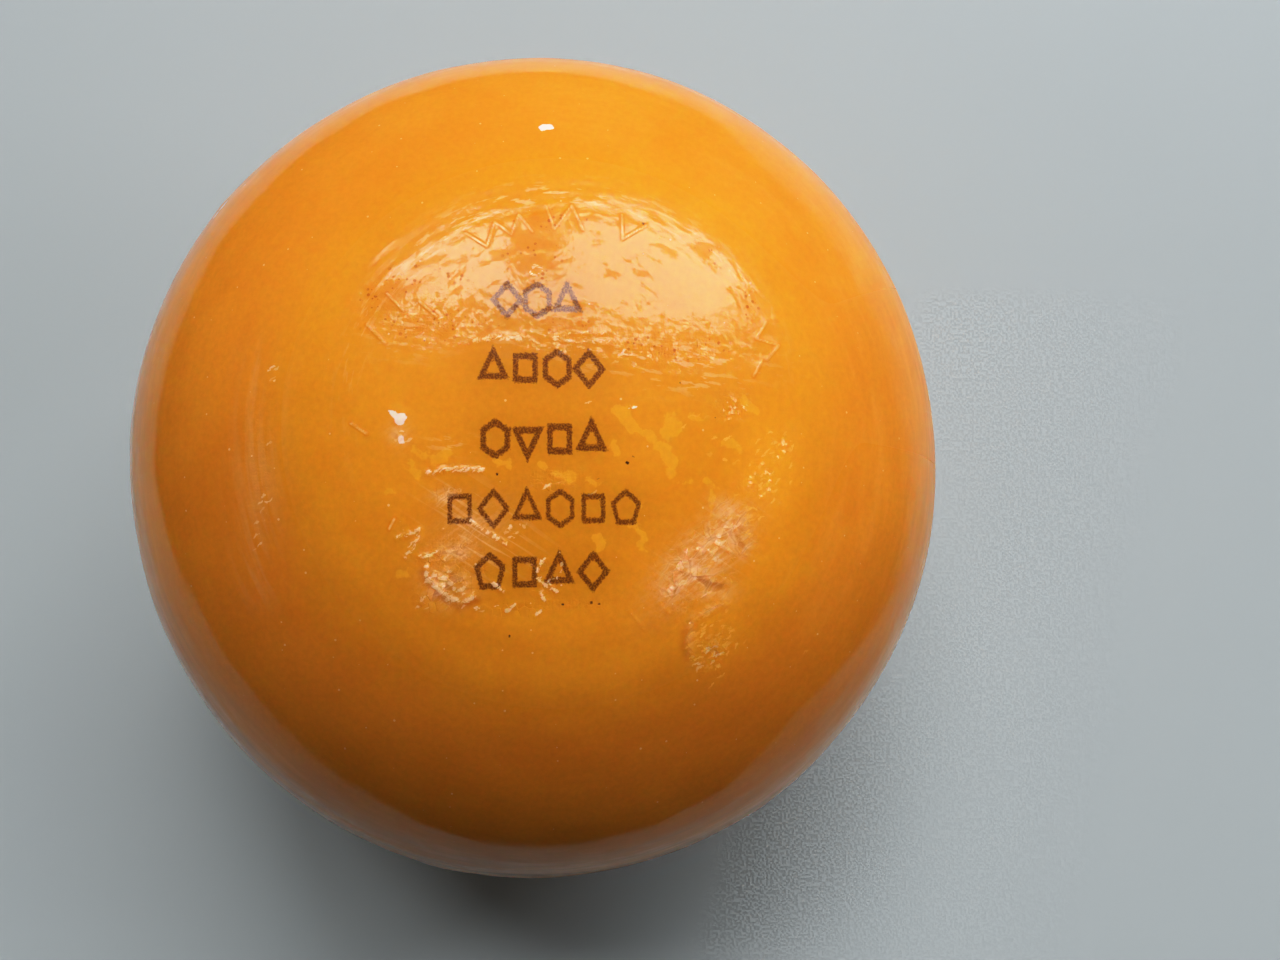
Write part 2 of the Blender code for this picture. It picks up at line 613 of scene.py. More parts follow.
def smooth_step(low, high, value):
    """Rise from 0 at low to 1 at high, three squares less two cubes."""
    share = np.clip((value - low) / (high - low), 0.0, 1.0)
    return share * share * (3.0 - 2.0 * share)


def spot(x, y, half_width, half_length=None, turn=0.0):
    """Soft oval on the top: a bell curve of the distance from x, y, which is 0.37 at the half width."""
    half_length = half_length or half_width
    across = (face_x - x) * math.cos(turn) + (face_y - y) * math.sin(turn)
    along = (face_y - y) * math.cos(turn) - (face_x - x) * math.sin(turn)
    return on_top * np.exp(-(across / half_width) ** 2 - (along / half_length) ** 2)


def line_distance(points):
    """Millimetres on the top to a bent line: the least distance to any of its straight runs."""
    nearest = np.full(len(face_x), FAR_AWAY)
    for (x0, y0), (x1, y1) in zip(points[:-1], points[1:]):
        run_x, run_y = x1 - x0, y1 - y0
        share = ((face_x - x0) * run_x + (face_y - y0) * run_y) / (run_x ** 2 + run_y ** 2)
        share = np.clip(share, 0.0, 1.0)
        gap = np.hypot(face_x - x0 - share * run_x, face_y - y0 - share * run_y)
        nearest = np.minimum(nearest, gap)
    return np.where(on_top, nearest, FAR_AWAY)


def ridge(points, half_width):
    """Bell shaped ridge along a bent line."""
    return np.exp(-(line_distance(points) / half_width) ** 2)


def patches(table):
    """The strongest at each point of a table of soft turned ovals."""
    cover = np.zeros(len(face_x))
    for x, y, half_width, half_length, turn, strength in table:
        oval = spot(x, y, half_width, half_length, math.radians(turn))
        cover = np.maximum(cover, strength * oval)
    return cover


def turned_to(angle, half_angle):
    """Bell curve of the angle round the axis, in degrees, which is 0.37 at the half angle away."""
    turn = np.angle(np.exp(1j * (azimuth - math.radians(angle))))
    return np.exp(-(turn / math.radians(half_angle)) ** 2)


def store(name, values):
    """Write a number to each point of the skin, for the material to read back by name."""
    layer = skin.attributes.new(name, "FLOAT", "POINT")
    layer.data.foreach_set("value", values.astype(np.float32))


print("skin spans", round(float(from_axis.max()), 1), "mm from the axis")

# %% [markdown]
# ## Sag, streaks and ripples
#
# The largest marks are the gentlest: sags from the press, a few centimetres across and
# mostly less than a tenth of a millimetre deep. Round the flank the wax ran in long thin
# streaks while the ball was turned, so those waves are stretched along the ball's girth.
# Both only show where they bend a reflection.

# %% Broad relief
arc_length = polar * MEAN_RADIUS / MM   # from the top pole down the flank
across_axis = skin_mm[:, :2]
SAG_HEIGHT, SAG_LENGTH = 0.040, 30.0
RIPPLE_HEIGHT, RIPPLE_LENGTH = 0.012, 8.0
FACE_WAVE_HEIGHT, FACE_WAVE_LENGTH = 0.0045, 2.6
STREAK_HEIGHT, STREAK_LENGTH, STREAK_STRETCH = 0.014, 4.2, 6.0
WISP_HEIGHT, WISP_LENGTH, WISP_STRETCH = 0.024, 1.5, 5.0
EDGE_EASE_DEPTH, EDGE_EASE_REACH, EDGE_EASE_HALF_WIDTH = 0.060, 30.8, 1.9
FACE_FADE = 30.0, 34.0                  # from here to here: millimetres from the axis
WISP_START, WISP_FADE = (26.5, 29.5), (32.0, 37.0)
STREAK_START = 62.0, 84.0               # millimetres down the flank
STREAK_SIDE, WISP_SIDE = (255, 60), (95, 62)    # angle round the axis and half angle, in degrees
STREAK_SHARE, STREAK_SIDE_GAIN = 0.8, 1.8

sag = SAG_HEIGHT * random_waves(skin_mm, SAG_LENGTH, seed=3)
ripple = RIPPLE_HEIGHT * random_waves(skin_mm, RIPPLE_LENGTH, seed=5)
face_waves = FACE_WAVE_HEIGHT * on_top * random_waves(across_axis, FACE_WAVE_LENGTH, seed=6)
face_waves *= 1.0 - smooth_step(*FACE_FADE, from_axis)

# Streaks run along the girth: distance along the girth counts for less than distance down the flank.
streak_places = np.column_stack([arc_length, across_axis / STREAK_STRETCH])
near_side = STREAK_SHARE + STREAK_SIDE_GAIN * turned_to(*STREAK_SIDE)
streaks = STREAK_HEIGHT * near_side * random_waves(streak_places, STREAK_LENGTH, seed=8)
streaks *= smooth_step(*STREAK_START, arc_length)

# The pressed edge is rounded off a little more than the press left it.
past_ease = (from_axis - EDGE_EASE_REACH) / EDGE_EASE_HALF_WIDTH
edge_ease = -EDGE_EASE_DEPTH * on_top * np.exp(-past_ease ** 2)

# Finer wisps where the far side of the pressed edge turns down.
wisp_places = np.column_stack([from_axis, across_axis / WISP_STRETCH])
wisps = WISP_HEIGHT * random_waves(wisp_places, WISP_LENGTH, seed=11)
wisps *= on_top * smooth_step(*WISP_START, from_axis) * (1.0 - smooth_step(*WISP_FADE, from_axis))
wisps *= turned_to(*WISP_SIDE)
print(f"sag to {np.abs(sag).max():.3f} mm, streaks to {np.abs(streaks).max():.3f} mm")

# %% [markdown]
# Across the far half of the face lie low waves, side by side, that bend the lower edge of
# the window light into level glints.

# %% Level waves
LEVEL_WAVE_HEIGHT, LEVEL_WAVE_LENGTH, LEVEL_WAVE_STRETCH = 0.009, 1.1, 5.0
LEVEL_WAVE_SLANT = 0.12
LEVEL_WAVE_SPOTS = (
    # x, y, half width, half length (mm), strength
    (14.0, 10.0, 13.0, 3.0, 1.0),
    (16.0, 7.0, 8.0, 2.4, 0.9),
    (-1.0, 11.0, 7.0, 2.2, 0.8),
    (-20.0, 12.0, 5.0, 4.0, 0.6),
)
level_places = np.column_stack([face_x / LEVEL_WAVE_STRETCH, face_y + LEVEL_WAVE_SLANT * face_x])
level_waves = LEVEL_WAVE_HEIGHT * random_waves(level_places, LEVEL_WAVE_LENGTH, seed=41)
level_waves *= sum(strength * spot(*oval) for *oval, strength in LEVEL_WAVE_SPOTS)
print(f"level waves to {np.abs(level_waves).max():.4f} mm")

# %% [markdown]
# ## Marks of the mould
#
# The mould's rim carried a row of slanting strokes, and they stand up round the edge of
# the pressed face as a zigzag. Each tooth's ends are placed by angle and distance, with
# a little seeded scatter, so no two are alike. A few loose strokes lie further round.

# %% Zigzag and loose strokes
ZIGZAGS = (
    # first angle, last angle (degrees), strokes, inner and outer distance from the axis (mm)
    (117, 98, 5, 25.8, 28.6),
    (94, 84, 3, 26.4, 29.6),
    (74, 67, 2, 26.6, 29.8),
    (28, 17, 3, 28.6, 31.6),
)
LOOSE_STROKES = (
    ((-22.9, 17.0), (-20.6, 14.5)),
    ((-18.7, 15.8), (-16.3, 13.6)),
    ((-25.4, 12.8), (-22.9, 10.2)),
    ((-21.5, -12.5), (-22.2, -13.8)),
    ((-27.2, -0.2), (-25.1, -1.6)),
    ((27.0, 8.9), (25.6, 6.6)),
)
ZIGZAG_SCATTER = 0.30
STROKE_HALF_WIDTH, STROKE_HEIGHT = 0.34, 0.040


def zigzag_points(first, last, strokes, inner, outer, random):
    """Corners at even angles from first to last, by turns at the outer and the inner distance."""
    angles = np.radians(np.linspace(first, last, strokes + 1))
    reach = np.where(np.arange(strokes + 1) % 2 == 0, outer, inner)
    corners = np.stack([reach * np.cos(angles), reach * np.sin(angles)], axis=1)
    return corners + random.normal(0.0, ZIGZAG_SCATTER, corners.shape)


mould_random = np.random.default_rng(50)
stroke_distance = np.full(len(face_x), FAR_AWAY)
for first, last, strokes, inner, outer in ZIGZAGS:
    corners = zigzag_points(first, last, strokes, inner, outer, mould_random)
    stroke_distance = np.minimum(stroke_distance, line_distance(corners))
for stroke in LOOSE_STROKES:
    stroke_distance = np.minimum(stroke_distance, line_distance(stroke))
mould_marks = STROKE_HEIGHT * np.exp(-(stroke_distance / STROKE_HALF_WIDTH) ** 2)
store("stroke_distance", stroke_distance)
print(f"{sum(z[2] for z in ZIGZAGS)} zigzag strokes and {len(LOOSE_STROKES)} loose ones")

# %% [markdown]
# ## Folds and single marks
#
# Where the wax cooled against the cloth it gathered into small folds, most of them just
# inside the edge of the pressed face, and one that curls away down the flank. A fold is a
# ridge along a bent line; only its steep side turned to the window flashes. What is left
# is a blister, a flake, a ring round a burst bubble and a few scratches.

# %% Folds, grooves, blister and ring
FOLDS = (
    # line, half width, height: millimetres
    (((-17.3, -6.7), (-14.5, -6.2), (-10.4, -6.4)), 0.42, 0.20),
    (((-21.2, -15.0), (-18.3, -13.9)), 0.40, 0.20),
    (((-18.4, -14.8), (-20.1, -17.3)), 0.42, 0.20),
    (((-18.2, -17.4), (-16.8, -17.2), (-15.8, -16.5)), 0.38, 0.18),
    (((-11.9, -12.9), (-9.3, -14.6)), 0.34, 0.17),
    (((-8.9, -14.8), (-7.3, -15.8)), 0.36, 0.18),
    (((-17.5, -18.6), (-17.4, -20.0), (-15.6, -21.8), (-13.2, -23.3), (-11.3, -22.4)), 0.45, 0.20),
    (((-16.6, -19.6), (-14.8, -20.3), (-13.6, -21.8), (-12.4, -21.2)), 0.40, 0.18),
    (((-15.2, -19.2), (-13.6, -19.4)), 0.34, 0.14),
    (((-11.2, -24.0), (-10.2, -23.8)), 0.30, 0.15),
    (((-7.3, -24.3), (-6.1, -23.6)), 0.32, 0.15),
    (((-3.6, -25.1), (-2.9, -24.3)), 0.30, 0.15),
    (((-3.5, -19.2), (-2.4, -17.7)), 0.32, 0.15),
    (((-3.3, -20.3), (-2.2, -21.2), (-0.8, -21.9)), 0.34, 0.15),
    (((-9.0, -20.7), (-7.8, -21.8)), 0.34, 0.15),
    (((-2.9, -22.2), (-2.4, -23.0)), 0.32, 0.14),
    (((-20.3, -13.9), (-21.0, -12.2)), 0.24, 0.06),
    (((16.6, -17.4), (14.4, -19.8), (13.2, -22.2)), 0.60, 0.19),
    (((15.6, -19.4), (18.2, -20.3), (20.9, -21.2)), 0.34, 0.13),
    (((15.5, -19.5), (14.6, -22.0)), 0.34, 0.12),
    (((17.2, -16.8), (19.6, -17.2)), 0.46, 0.17),
    (((21.2, -12.9), (24.2, -12.4)), 0.42, 0.15),
    (((22.3, -13.3), (24.6, -16.4)), 0.32, 0.12),
    (((21.6, -16.8), (24.6, -17.4)), 0.32, 0.10),
    (((12.3, -23.6), (13.9, -25.0)), 0.32, 0.16),
    (((21.6, -23.9), (19.6, -24.6), (17.8, -25.6), (16.8, -27.4), (16.7, -29.4), (17.4, -31.4)), 0.72, 0.20),
    (((20.8, -25.6), (19.2, -26.8), (18.4, -28.8)), 0.34, 0.12),
    (((18.4, -33.2), (21.4, -32.9)), 0.30, 0.15),
    (((8.4, -24.4), (10.7, -27.1)), 0.26, 0.08),
    (((7.1, -23.6), (7.0, -27.0)), 0.26, 0.05),
    (((-1.2, 10.9), (1.8, 11.7), (5.6, 11.5)), 0.36, 0.09),
    (((-1.2, 10.7), (1.8, 10.4), (7.0, 10.5)), 0.34, 0.09),
    (((-11.8, 10.3), (-9.0, 10.8), (-5.6, 10.7)), 0.50, 0.11),
)
GROOVES = (
    # line, half width, depth: millimetres
    (((5.6, 19.6), (8.2, 18.6)), 0.24, 0.012),
    (((8.2, 18.6), (11.0, 17.4)), 0.28, 0.020),
    (((19.0, -8.0), (24.0, -9.5)), 0.28, 0.020),
)
# x, y, half width, half length, height: millimetres
BLISTER = (-20.7, 0.4, 1.0, 0.8, 0.20)
BLISTER_TAIL = (-20.9, -2.0, 0.45, 0.45, 0.08)
FLAKE = (-1.7, 43.0, 1.0, 0.5, 0.10)
BUBBLE_RING = (-3.6, 20.0, 0.72, 0.26, 0.055)       # x, y, radius, half width, height
FULL_CREST_HEIGHT = 0.12
SOFT_FOLDS_FROM, SOFT_FOLDS_LOSS = (8.0, 14.0), 0.75    # the folds on the right are softer
LUMPY_SHARE, LUMPY_SWING, LUMPY_LENGTH = 0.7, 0.3, 1.6
FOLD_SHARE_IN_SHAPE = 0.20              # the rest is left to the coat's bump, which has sharper sides

single_marks = np.zeros(len(face_x))
fold_height = np.zeros(len(face_x))
fold_crest = np.zeros(len(face_x))
crest_clearness = 1.0 - SOFT_FOLDS_LOSS * smooth_step(*SOFT_FOLDS_FROM, face_x)
for line, half_width, height in FOLDS:
    fold = ridge(line, half_width)
    fold_height = np.maximum(fold_height, height * fold)
    fold_crest = np.maximum(fold_crest, min(height / FULL_CREST_HEIGHT, 1.0) * fold)
fold_crest *= crest_clearness
single_marks += FOLD_SHARE_IN_SHAPE * fold_height
for line, half_width, depth in GROOVES:
    single_marks -= depth * ridge(line, half_width)
lumpy = LUMPY_SHARE + LUMPY_SWING * random_waves(across_axis, LUMPY_LENGTH, seed=61)
for x, y, half_width, half_length, height in (BLISTER, BLISTER_TAIL, FLAKE):
    single_marks += height * lumpy * spot(x, y, half_width, half_length)
ring_x, ring_y, ring_radius, ring_half_width, ring_height = BUBBLE_RING
from_ring = np.hypot(face_x - ring_x, face_y - ring_y) - ring_radius
bubble_rim = on_top * np.exp(-(from_ring / ring_half_width) ** 2)
single_marks += ring_height * bubble_rim
store("fold_height", fold_height)
store("fold_crest", np.maximum(fold_crest, bubble_rim))
print(f"{len(FOLDS)} folds, {len(GROOVES)} grooves, a blister and a ring")

# %% [markdown]
# ## Lumps on the flank
#
# Mostly on the near side, a little above the widest part, the surface is pushed into flat
# lens shaped lumps, nearly all of them longer along the girth. They are placed by angle
# round the axis and by height over the table.

# %% Lumps
LUMPS = (
    # angle round the axis (degrees), height over the table, half length, half height, relief (mm)
    (249, 88, 4.5, 1.6, 0.16),
    (255, 84, 5.0, 1.8, 0.20),
    (262, 80, 4.0, 1.5, 0.18),
    (268, 83, 5.5, 1.4, 0.16),
    (276, 78, 4.0, 1.6, 0.14),
    (239, 79, 6.0, 1.8, 0.12),
    (301, 84, 3.5, 1.8, 0.16),
    (222, 82, 5.0, 1.6, 0.12),
    (184, 92, 2.0, 4.0, 0.10),
    (143, 92, 2.6, 1.4, 0.16),
)


def flank_spot(angle, height, half_length, half_height):
    """Soft oval on the flank, by distance along the girth and height over the table."""
    turn = np.angle(np.exp(1j * (azimuth - math.radians(angle))))
    along = turn * MEAN_RADIUS / MM
    return np.exp(-(along / half_length) ** 2 - ((above_table - height) / half_height) ** 2)


lumps = np.zeros(len(face_x))
for angle, height, half_length, half_height, relief in LUMPS:
    lumps += relief * flank_spot(angle, height, half_length, half_height)
print(f"{len(LUMPS)} lumps on the flank")

# %% [markdown]
# ## Put the relief on the skin
#
# The heights are added up and each point moves that far along the skin's own normal. The
# flat spot underneath stays flat, and nothing sinks below the table.

# %% Raise the skin
RELIEF_START = 2.0, 12.0                # millimetres over the table

relief_height = sag + ripple + face_waves + streaks + wisps + edge_ease
relief_height += level_waves + mould_marks + single_marks + lumps
relief_height *= smooth_step(*RELIEF_START, above_table)
raised_points = smooth_points + normals * relief_height[:, None] * MM
raised_points[:, 2] = np.maximum(raised_points[:, 2], 0.0)
skin.vertices.foreach_set("co", raised_points.ravel())
skin.update()
waxed_ball = bpy.data.objects.new("waxed_ball", skin)
bpy.context.scene.collection.objects.link(waxed_ball)
print(f"relief from {relief_height.min():.3f} to {relief_height.max():.3f} mm")

# %% [markdown]
# ## The printed mark
#
# Under the wax the rind carries five rows of small stamped figures in brown ink. Ink
# could be a picture laid on the surface, but a distance works better: each point of the
# skin stores how far it is from the nearest stroke, and the material draws ink where
# that distance is less than nothing. The edge stays sharp at any size. The figures are
# plain outlines with three to six corners.

# %% Ink figures
MARK_HEIGHT = 4.4                       # millimetres
MARK_NARROWING = 0.80                   # width of a figure over its height
INK_ROWS = (
    # middle (x, y), pitch and stroke width in millimetres, then each figure's corners and turn (degrees)
    (-3.4, 15.9, 3.9, 0.88, ((4, 0), (6, 90), (3, 90))),
    (-2.9, 6.8, 4.1, 0.86, ((3, 90), (4, 45), (6, 90), (4, 0))),
    (-2.6, -2.4, 4.1, 0.90, ((6, 90), (3, -90), (4, 45), (3, 90))),
    (-2.6, -11.3, 4.25, 0.72, ((4, 45), (4, 0), (3, 90), (6, 90), (4, 45), (5, 90))),
    (-2.8, -19.4, 4.4, 0.82, ((5, 90), (4, 45), (3, 90), (4, 0))),
)


def figure_distance(x, y, corners, turn):
    """Distance to a regular figure's outline: fold the angle into one side, then measure to that side."""
    across = (face_x - x) / MARK_NARROWING
    along = face_y - y
    sector = 2 * math.pi / corners
    angle = np.mod(np.arctan2(along, across) - math.radians(turn), sector) - sector / 2
    reach = MARK_HEIGHT / 2 * math.cos(sector / 2)
    return np.abs(np.hypot(across, along) * np.cos(angle) - reach)


# the rind is drawn darker round the printed figures
PRINT_DARKENING_REACH, PRINT_DARKENING_DEPTH = 3.4, 1.2

ink_distance = np.full(len(face_x), FAR_AWAY)
print_darkening = np.zeros(len(face_x))
for middle_x, middle_y, pitch, stroke, figures in INK_ROWS:
    for place_in_row, (corners, turn) in enumerate(figures):
        x = middle_x + (place_in_row - (len(figures) - 1) / 2) * pitch
        to_stroke = figure_distance(x, middle_y, corners, turn) - stroke / 2
        ink_distance = np.minimum(ink_distance, to_stroke)
        print_darkening += spot(x, middle_y, PRINT_DARKENING_REACH)
print_darkening = 1.0 - np.exp(-PRINT_DARKENING_DEPTH * print_darkening)
store("ink_distance", np.where(on_top, ink_distance, FAR_AWAY))
store("print_darkening", print_darkening)
print(f"{sum(len(row[4]) for row in INK_ROWS)} figures, stain up to {print_darkening.max():.2f}")

# %% [markdown]
# ## Marks of colour
#
# Some marks are seen by colour more than by shape: yellow flecks where the wax lies
# thicker, pale flakes, of which the two on the blister are its painted glint, a dull scuff
# on the left, two pale chips on the flank, a few dark specks and painted shade along a few
# creases. Marks with an outline are stored as distances to it, like the ink, and soft
# patches as a share.

# %% Flecks, specks and soft patches
FLECKS = (
    # line and half width: millimetres
    (((7.4, 1.4), (9.0, -0.6)), 0.95),
    (((9.0, -0.6), (11.6, -2.4)), 0.60),
    (((12.4, -3.2), (13.9, -4.6), (14.1, -6.6)), 0.85),
    (((13.6, 0.9), (14.6, -0.9), (13.4, -1.6)), 0.75),
    (((16.7, 0.6), (18.6, 0.5)), 0.28),
    (((19.0, -8.0), (20.6, -8.4)), 0.45),
    (((19.6, -8.6), (19.4, -12.0)), 0.22),
    (((21.6, -2.3), (23.1, -3.3)), 0.40),
    (((6.0, -2.8), (6.8, -3.8)), 0.50),
    (((15.1, -8.0), (16.7, -7.9)), 0.40),
    (((9.0, -13.4), (10.4, -14.9)), 0.32),
    (((9.9, -16.0), (10.8, -17.0)), 0.24),
    (((10.1, -11.5), (10.3, -11.5)), 0.45),
    (((-19.1, -3.8), (-17.7, -4.5)), 0.38),
    (((-14.8, -3.7), (-15.4, -4.9), (-16.5, -5.4)), 0.50),
    (((-22.3, -9.1), (-21.4, -9.5)), 0.40),
    (((-21.0, -19.6), (-20.0, -19.6)), 0.36),
    (((-8.8, -5.2), (-7.2, -5.5)), 0.42),
    (((-3.1, -5.9), (-2.9, -6.0)), 0.28),
    (((-0.8, -7.0), (1.2, -7.6)), 0.60),
    (((3.2, -7.6), (4.0, -8.0)), 0.45),
    (((-19.4, -5.6), (-18.6, -7.4)), 0.50),
    (((24.2, 3.0), (25.6, 1.8)), 0.60),
    (((4.0, -15.2), (5.0, -16.2)), 0.45),
)
PALE_FLAKES = (
    # line and half width: millimetres
    # the first two, on the blister, are its painted glint
    (((-22.0, 1.0), (-20.9, 0.2)), 0.60),
    (((-20.6, -2.3), (-20.4, -2.6)), 0.25),
    (((-2.6, 43.3), (-1.0, 43.0)), 0.50),
    (((8.6, 1.9), (9.4, 1.8)), 0.16),
)
SCUFF = ((-39.8, 8.0), (-40.4, -4.0), (-40.0, -13.0), (-41.0, -20.5))
SCUFF_HALF_WIDTH = 3.6
DARK_SPECKS = (
    # x, y, radius: millimetres
    (28.4, 22.7, 0.18), (10.9, 27.4, 0.16), (13.0, 26.4, 0.10), (-36.7, -4.8, 0.20), (15.3, 5.2, 0.12),
    (20.1, 0.7, 0.10), (-17.9, 10.4, 0.12), (8.2, -5.4, 0.20), (9.0, -4.6, 0.12), (-8.5, -6.9, 0.14),
    (4.4, -7.5, 0.12), (-0.1, -23.6, 0.14), (3.6, -23.4, 0.16), (4.6, -23.6, 0.12), (-6.9, -27.6, 0.14),
)
# painted shade along these creases
CREASE_SHADOWS = (
    ((15.6, -19.6), (18.2, -20.6), (20.9, -21.5)),
    ((15.3, -19.6), (14.4, -22.0)),
    ((22.0, -13.6), (24.2, -16.6)),
    ((16.9, -26.2), (16.2, -27.6), (16.1, -29.4), (16.6, -30.6)),
    ((-17.9, -19.4), (-16.2, -22.0), (-13.4, -23.9), (-11.0, -22.9)),
)
CREASE_HALF_WIDTH = 0.55
CHIP_SPOTS = (
    # angle round the axis (degrees), height over the table, half length, half height (mm)
    (144, 96, 3.4, 0.9),
    (140, 99, 1.6, 0.8),
)


def outline_distance(table):
    """Distance to the nearest outline of a table of bent lines with half widths, less than 0 inside."""
    distances = [line_distance(line) - half_width for line, half_width in table]
    return np.minimum.reduce(distances)


speck_distances = [np.hypot(face_x - x, face_y - y) - radius for x, y, radius in DARK_SPECKS]
store("speck_distance", np.where(on_top, np.minimum.reduce(speck_distances), FAR_AWAY))
store("fleck_distance", outline_distance(FLECKS))
store("pale_distance", outline_distance(PALE_FLAKES))
store("crease_shadow", np.maximum.reduce([ridge(line, CREASE_HALF_WIDTH) for line in CREASE_SHADOWS]))
store("scuff_cover", ridge(SCUFF, SCUFF_HALF_WIDTH))
store("chip_cover", sum(flank_spot(*chip) for chip in CHIP_SPOTS))
print(len(FLECKS), "flecks,", len(PALE_FLAKES), "pale flakes,", len(DARK_SPECKS), "specks")

# %% [markdown]
# Crumpled wax is a patchwork of tiny tilted faces. How strongly it is crumpled is stored
# for two sizes of patch: coarse in the wrinkled clusters, and fine where the wax is only
# roughened. The other soft patches are stored the same way, each under the name that the
# material reads: whitish and golden flakes of painted glint, milky haze that is a painted
# reflection, a painted sheen, scratches, level dashes of painted glint, and wear where the
# clear gloss is lost.

# %% Soft patches
PATCHES = {
    # x, y, half width, half length (mm), turn (degrees), strength
    # wax crumpled into coarse facets
    "coarse_crumple": (
        (-14.6, -21.2, 3.4, 1.9, 35, 1), (-16.8, -18.4, 1.2, 1.6, 0, 0.8), (-13.8, -17, 1.5, 1, 0, 0.7),
        (-15.1, -9.7, 1.3, 0.9, 0, 0.6), (-2.4, -20.6, 1.6, 2.2, 0, 0.5),
        (-5.6, -24.2, 2.6, 0.8, 0, 0.5), (23.2, -13.6, 2.6, 2.4, 0, 0.8),
        (18, -17.6, 2.4, 5.4, -46, 0.7), (14.6, -20.4, 1.2, 2.8, -30, 0.9),
        (19.4, -21, 2.4, 1.8, 0, 0.7), (-0.8, -8.7, 1.6, 0.6, 0, 0.5),
    ),
    # wax only roughened
    "fine_crumple": (
        (26.6, -8, 2.6, 4.6, -25, 0.6), (29.6, -3.2, 1.8, 3.4, -20, 0.5), (22.8, 2.6, 2.4, 2.2, 0, 0.3),
        (20.6, -30.2, 2, 2.4, -20, 0.9), (-16.4, 14, 6, 3.2, 0, 0.14), (13, 10, 12, 2.2, 0, 0.14),
        (0, 10.4, 6.5, 1.8, 0, 0.16), (-40, -6, 2.2, 14, 0, 0.15), (-13.4, -17.8, 4, 3.6, 35, 0.3),
        (1, -23.6, 4.4, 0.6, 0, 0.45), (-1, -7.6, 3, 1.2, 0, 0.3), (16, -24, 2, 1.6, 0, 0.4),
    ),
    # share of cells painted as whitish glints
    "white_glint_cover": (
        (-15.6, -21, 3.4, 1.5, 38, 0.5), (-13.4, -22.8, 2.4, 1, -10, 0.55),
        (-17.4, -18.6, 1, 1.4, 0, 0.4), (-14, -17.2, 1.4, 1, 0, 0.3), (-15, -9.6, 1.5, 0.9, 0, 0.4),
        (-8.6, -24, 3.4, 0.8, 0, 0.25), (-6.6, -14.6, 1.6, 1.6, 0, 0.2),
        (-2.2, -20.8, 1.3, 2.4, -20, 0.4), (1.6, -8.6, 4, 0.8, 0, 0.25),
        (-20.8, -2.2, 1.2, 1.8, 0, 0.35), (18, -17.2, 1.8, 3.4, -46, 0.3),
        (15.4, -20.6, 1.6, 2.6, -30, 0.38), (23, -13.4, 2, 1.6, 20, 0.26),
        (20.4, -29.4, 1.8, 2.4, -25, 0.42), (-38.4, 6.5, 0.9, 1.4, 0, 0.35),
        (-39.4, -1, 1.2, 4, 0, 0.1), (-38.9, -10.4, 1.5, 2.2, 0, 0.35),
        (-40.2, -15.2, 1.3, 2.6, 0, 0.25), (-39.8, -6, 3.6, 14, 0, 0.03), (2.6, 2.8, 1.6, 0.5, 0, 0.25),
        (-17, 12, 6, 2.4, 0, 0.1), (14, 9, 9, 1.4, 0, 0.1),
    ),
    # share of cells painted as golden glints
    "gold_glint_cover": (
        (27.6, -6, 3, 5.4, -30, 0.6), (25.6, -12, 1.8, 3, -10, 0.45), (19.8, -29.2, 2.8, 3.2, -25, 1.1),
        (20.6, -2, 5, 4, 0, 0.12), (-15.2, -19.2, 2.6, 2.2, 0, 0.25), (36, -30, 1.6, 1.2, 30, 0.25),
    ),
    # milky haze: a painted, blurred reflection of the window
    "reflection_haze_cover": (
        (-21, -1.6, 1.4, 1.7, 0, 0.5), (22.2, -13, 2.4, 1.5, 0, 1), (24.2, -15.6, 1.4, 2.4, -20, 0.7),
        (18.2, -17.8, 3, 7, -46, 1.1), (22.6, -12.4, 2.8, 1.8, -30, 1),
        (19.6, -21.8, 3.4, 1.8, -10, 0.6), (15, -21, 1.4, 2.2, -30, 0.7),
        (19.4, -24.6, 2.6, 0.6, 23, 0.5), (17, -28.2, 0.6, 2.6, 0, 0.42), (-15, -21, 3, 2.6, 0, 0.6),
        (-12, -14, 5, 3, 30, 0.4), (-13.8, -16.8, 1.9, 1.2, 0, 0.9), (-14.9, -10, 1.9, 1.2, 0, 0.7),
    ),
    # painted sheen: a brighter, warmer orange
    "sheen_cover": (
        (27.6, -6.5, 5, 8.5, -12, 0.85), (20.8, -28, 5.5, 5, 0, 0.55), (30, -18, 5, 8, -25, 0.35),
    ),
    # fine scratches side by side, drawn as pale lines of painted glint
    "hairline_cover": (
        (-11, -15, 6, 4, 0, 1), (-14, -10, 4, 3, 0, 0.6), (19, -17, 4, 7, -45, 0.8),
    ),
    # level dashes of painted glint under the window light
    "level_glint_dashes": (
        (14, 8.6, 12, 2.4, 0, 0.9), (17, 5.8, 7, 1.8, 0, 0.7), (-1, 10.9, 7.5, 1.3, 0, 0.9),
        (-19.5, 11.5, 5, 3, 0, 0.6), (-14.4, -3, 3, 1.2, 0, 0.5),
    ),
    # clear gloss worn off in spots
    "worn": (
        (-17, 12.8, 6.5, 3.4, 0, 0.6), (-22.5, 17, 3, 6, -45, 0.85), (-10, 12, 4.5, 2.4, 0, 0.58),
        (-14, 20, 5, 4, 0, 0.42), (-3.8, 22.4, 4.4, 4.6, 0, 0.8), (-3.2, 27.4, 3.4, 2, 0, 0.9),
        (8, 19.6, 3.2, 2.6, 0, 0.3), (15, 10.2, 11, 2.6, 0, 0.56), (25.4, 16.5, 2.2, 5, 30, 0.5),
        (20, 23.8, 2.4, 4, 45, 0.45), (1, 12.4, 5, 2, 0, 0.55), (3, 27.5, 9, 1.6, 0, 0.42),
    ),
}

for name, ovals in PATCHES.items():
    store(name, patches(ovals))
print(sum(len(ovals) for ovals in PATCHES.values()), "soft ovals in", len(PATCHES), "kinds")

# %% [markdown]
# ## What changes over the whole ball
#
# The gloss ends in tatters at the pressed edge, nearer the axis on the left than on the
# right. Off the face the wax is thinner and crisper, but for one side. Down the flank run
# faint streaks, stronger on some sides than on others. Nearly all of these follow from
# the distance down the flank and the angle round the axis.

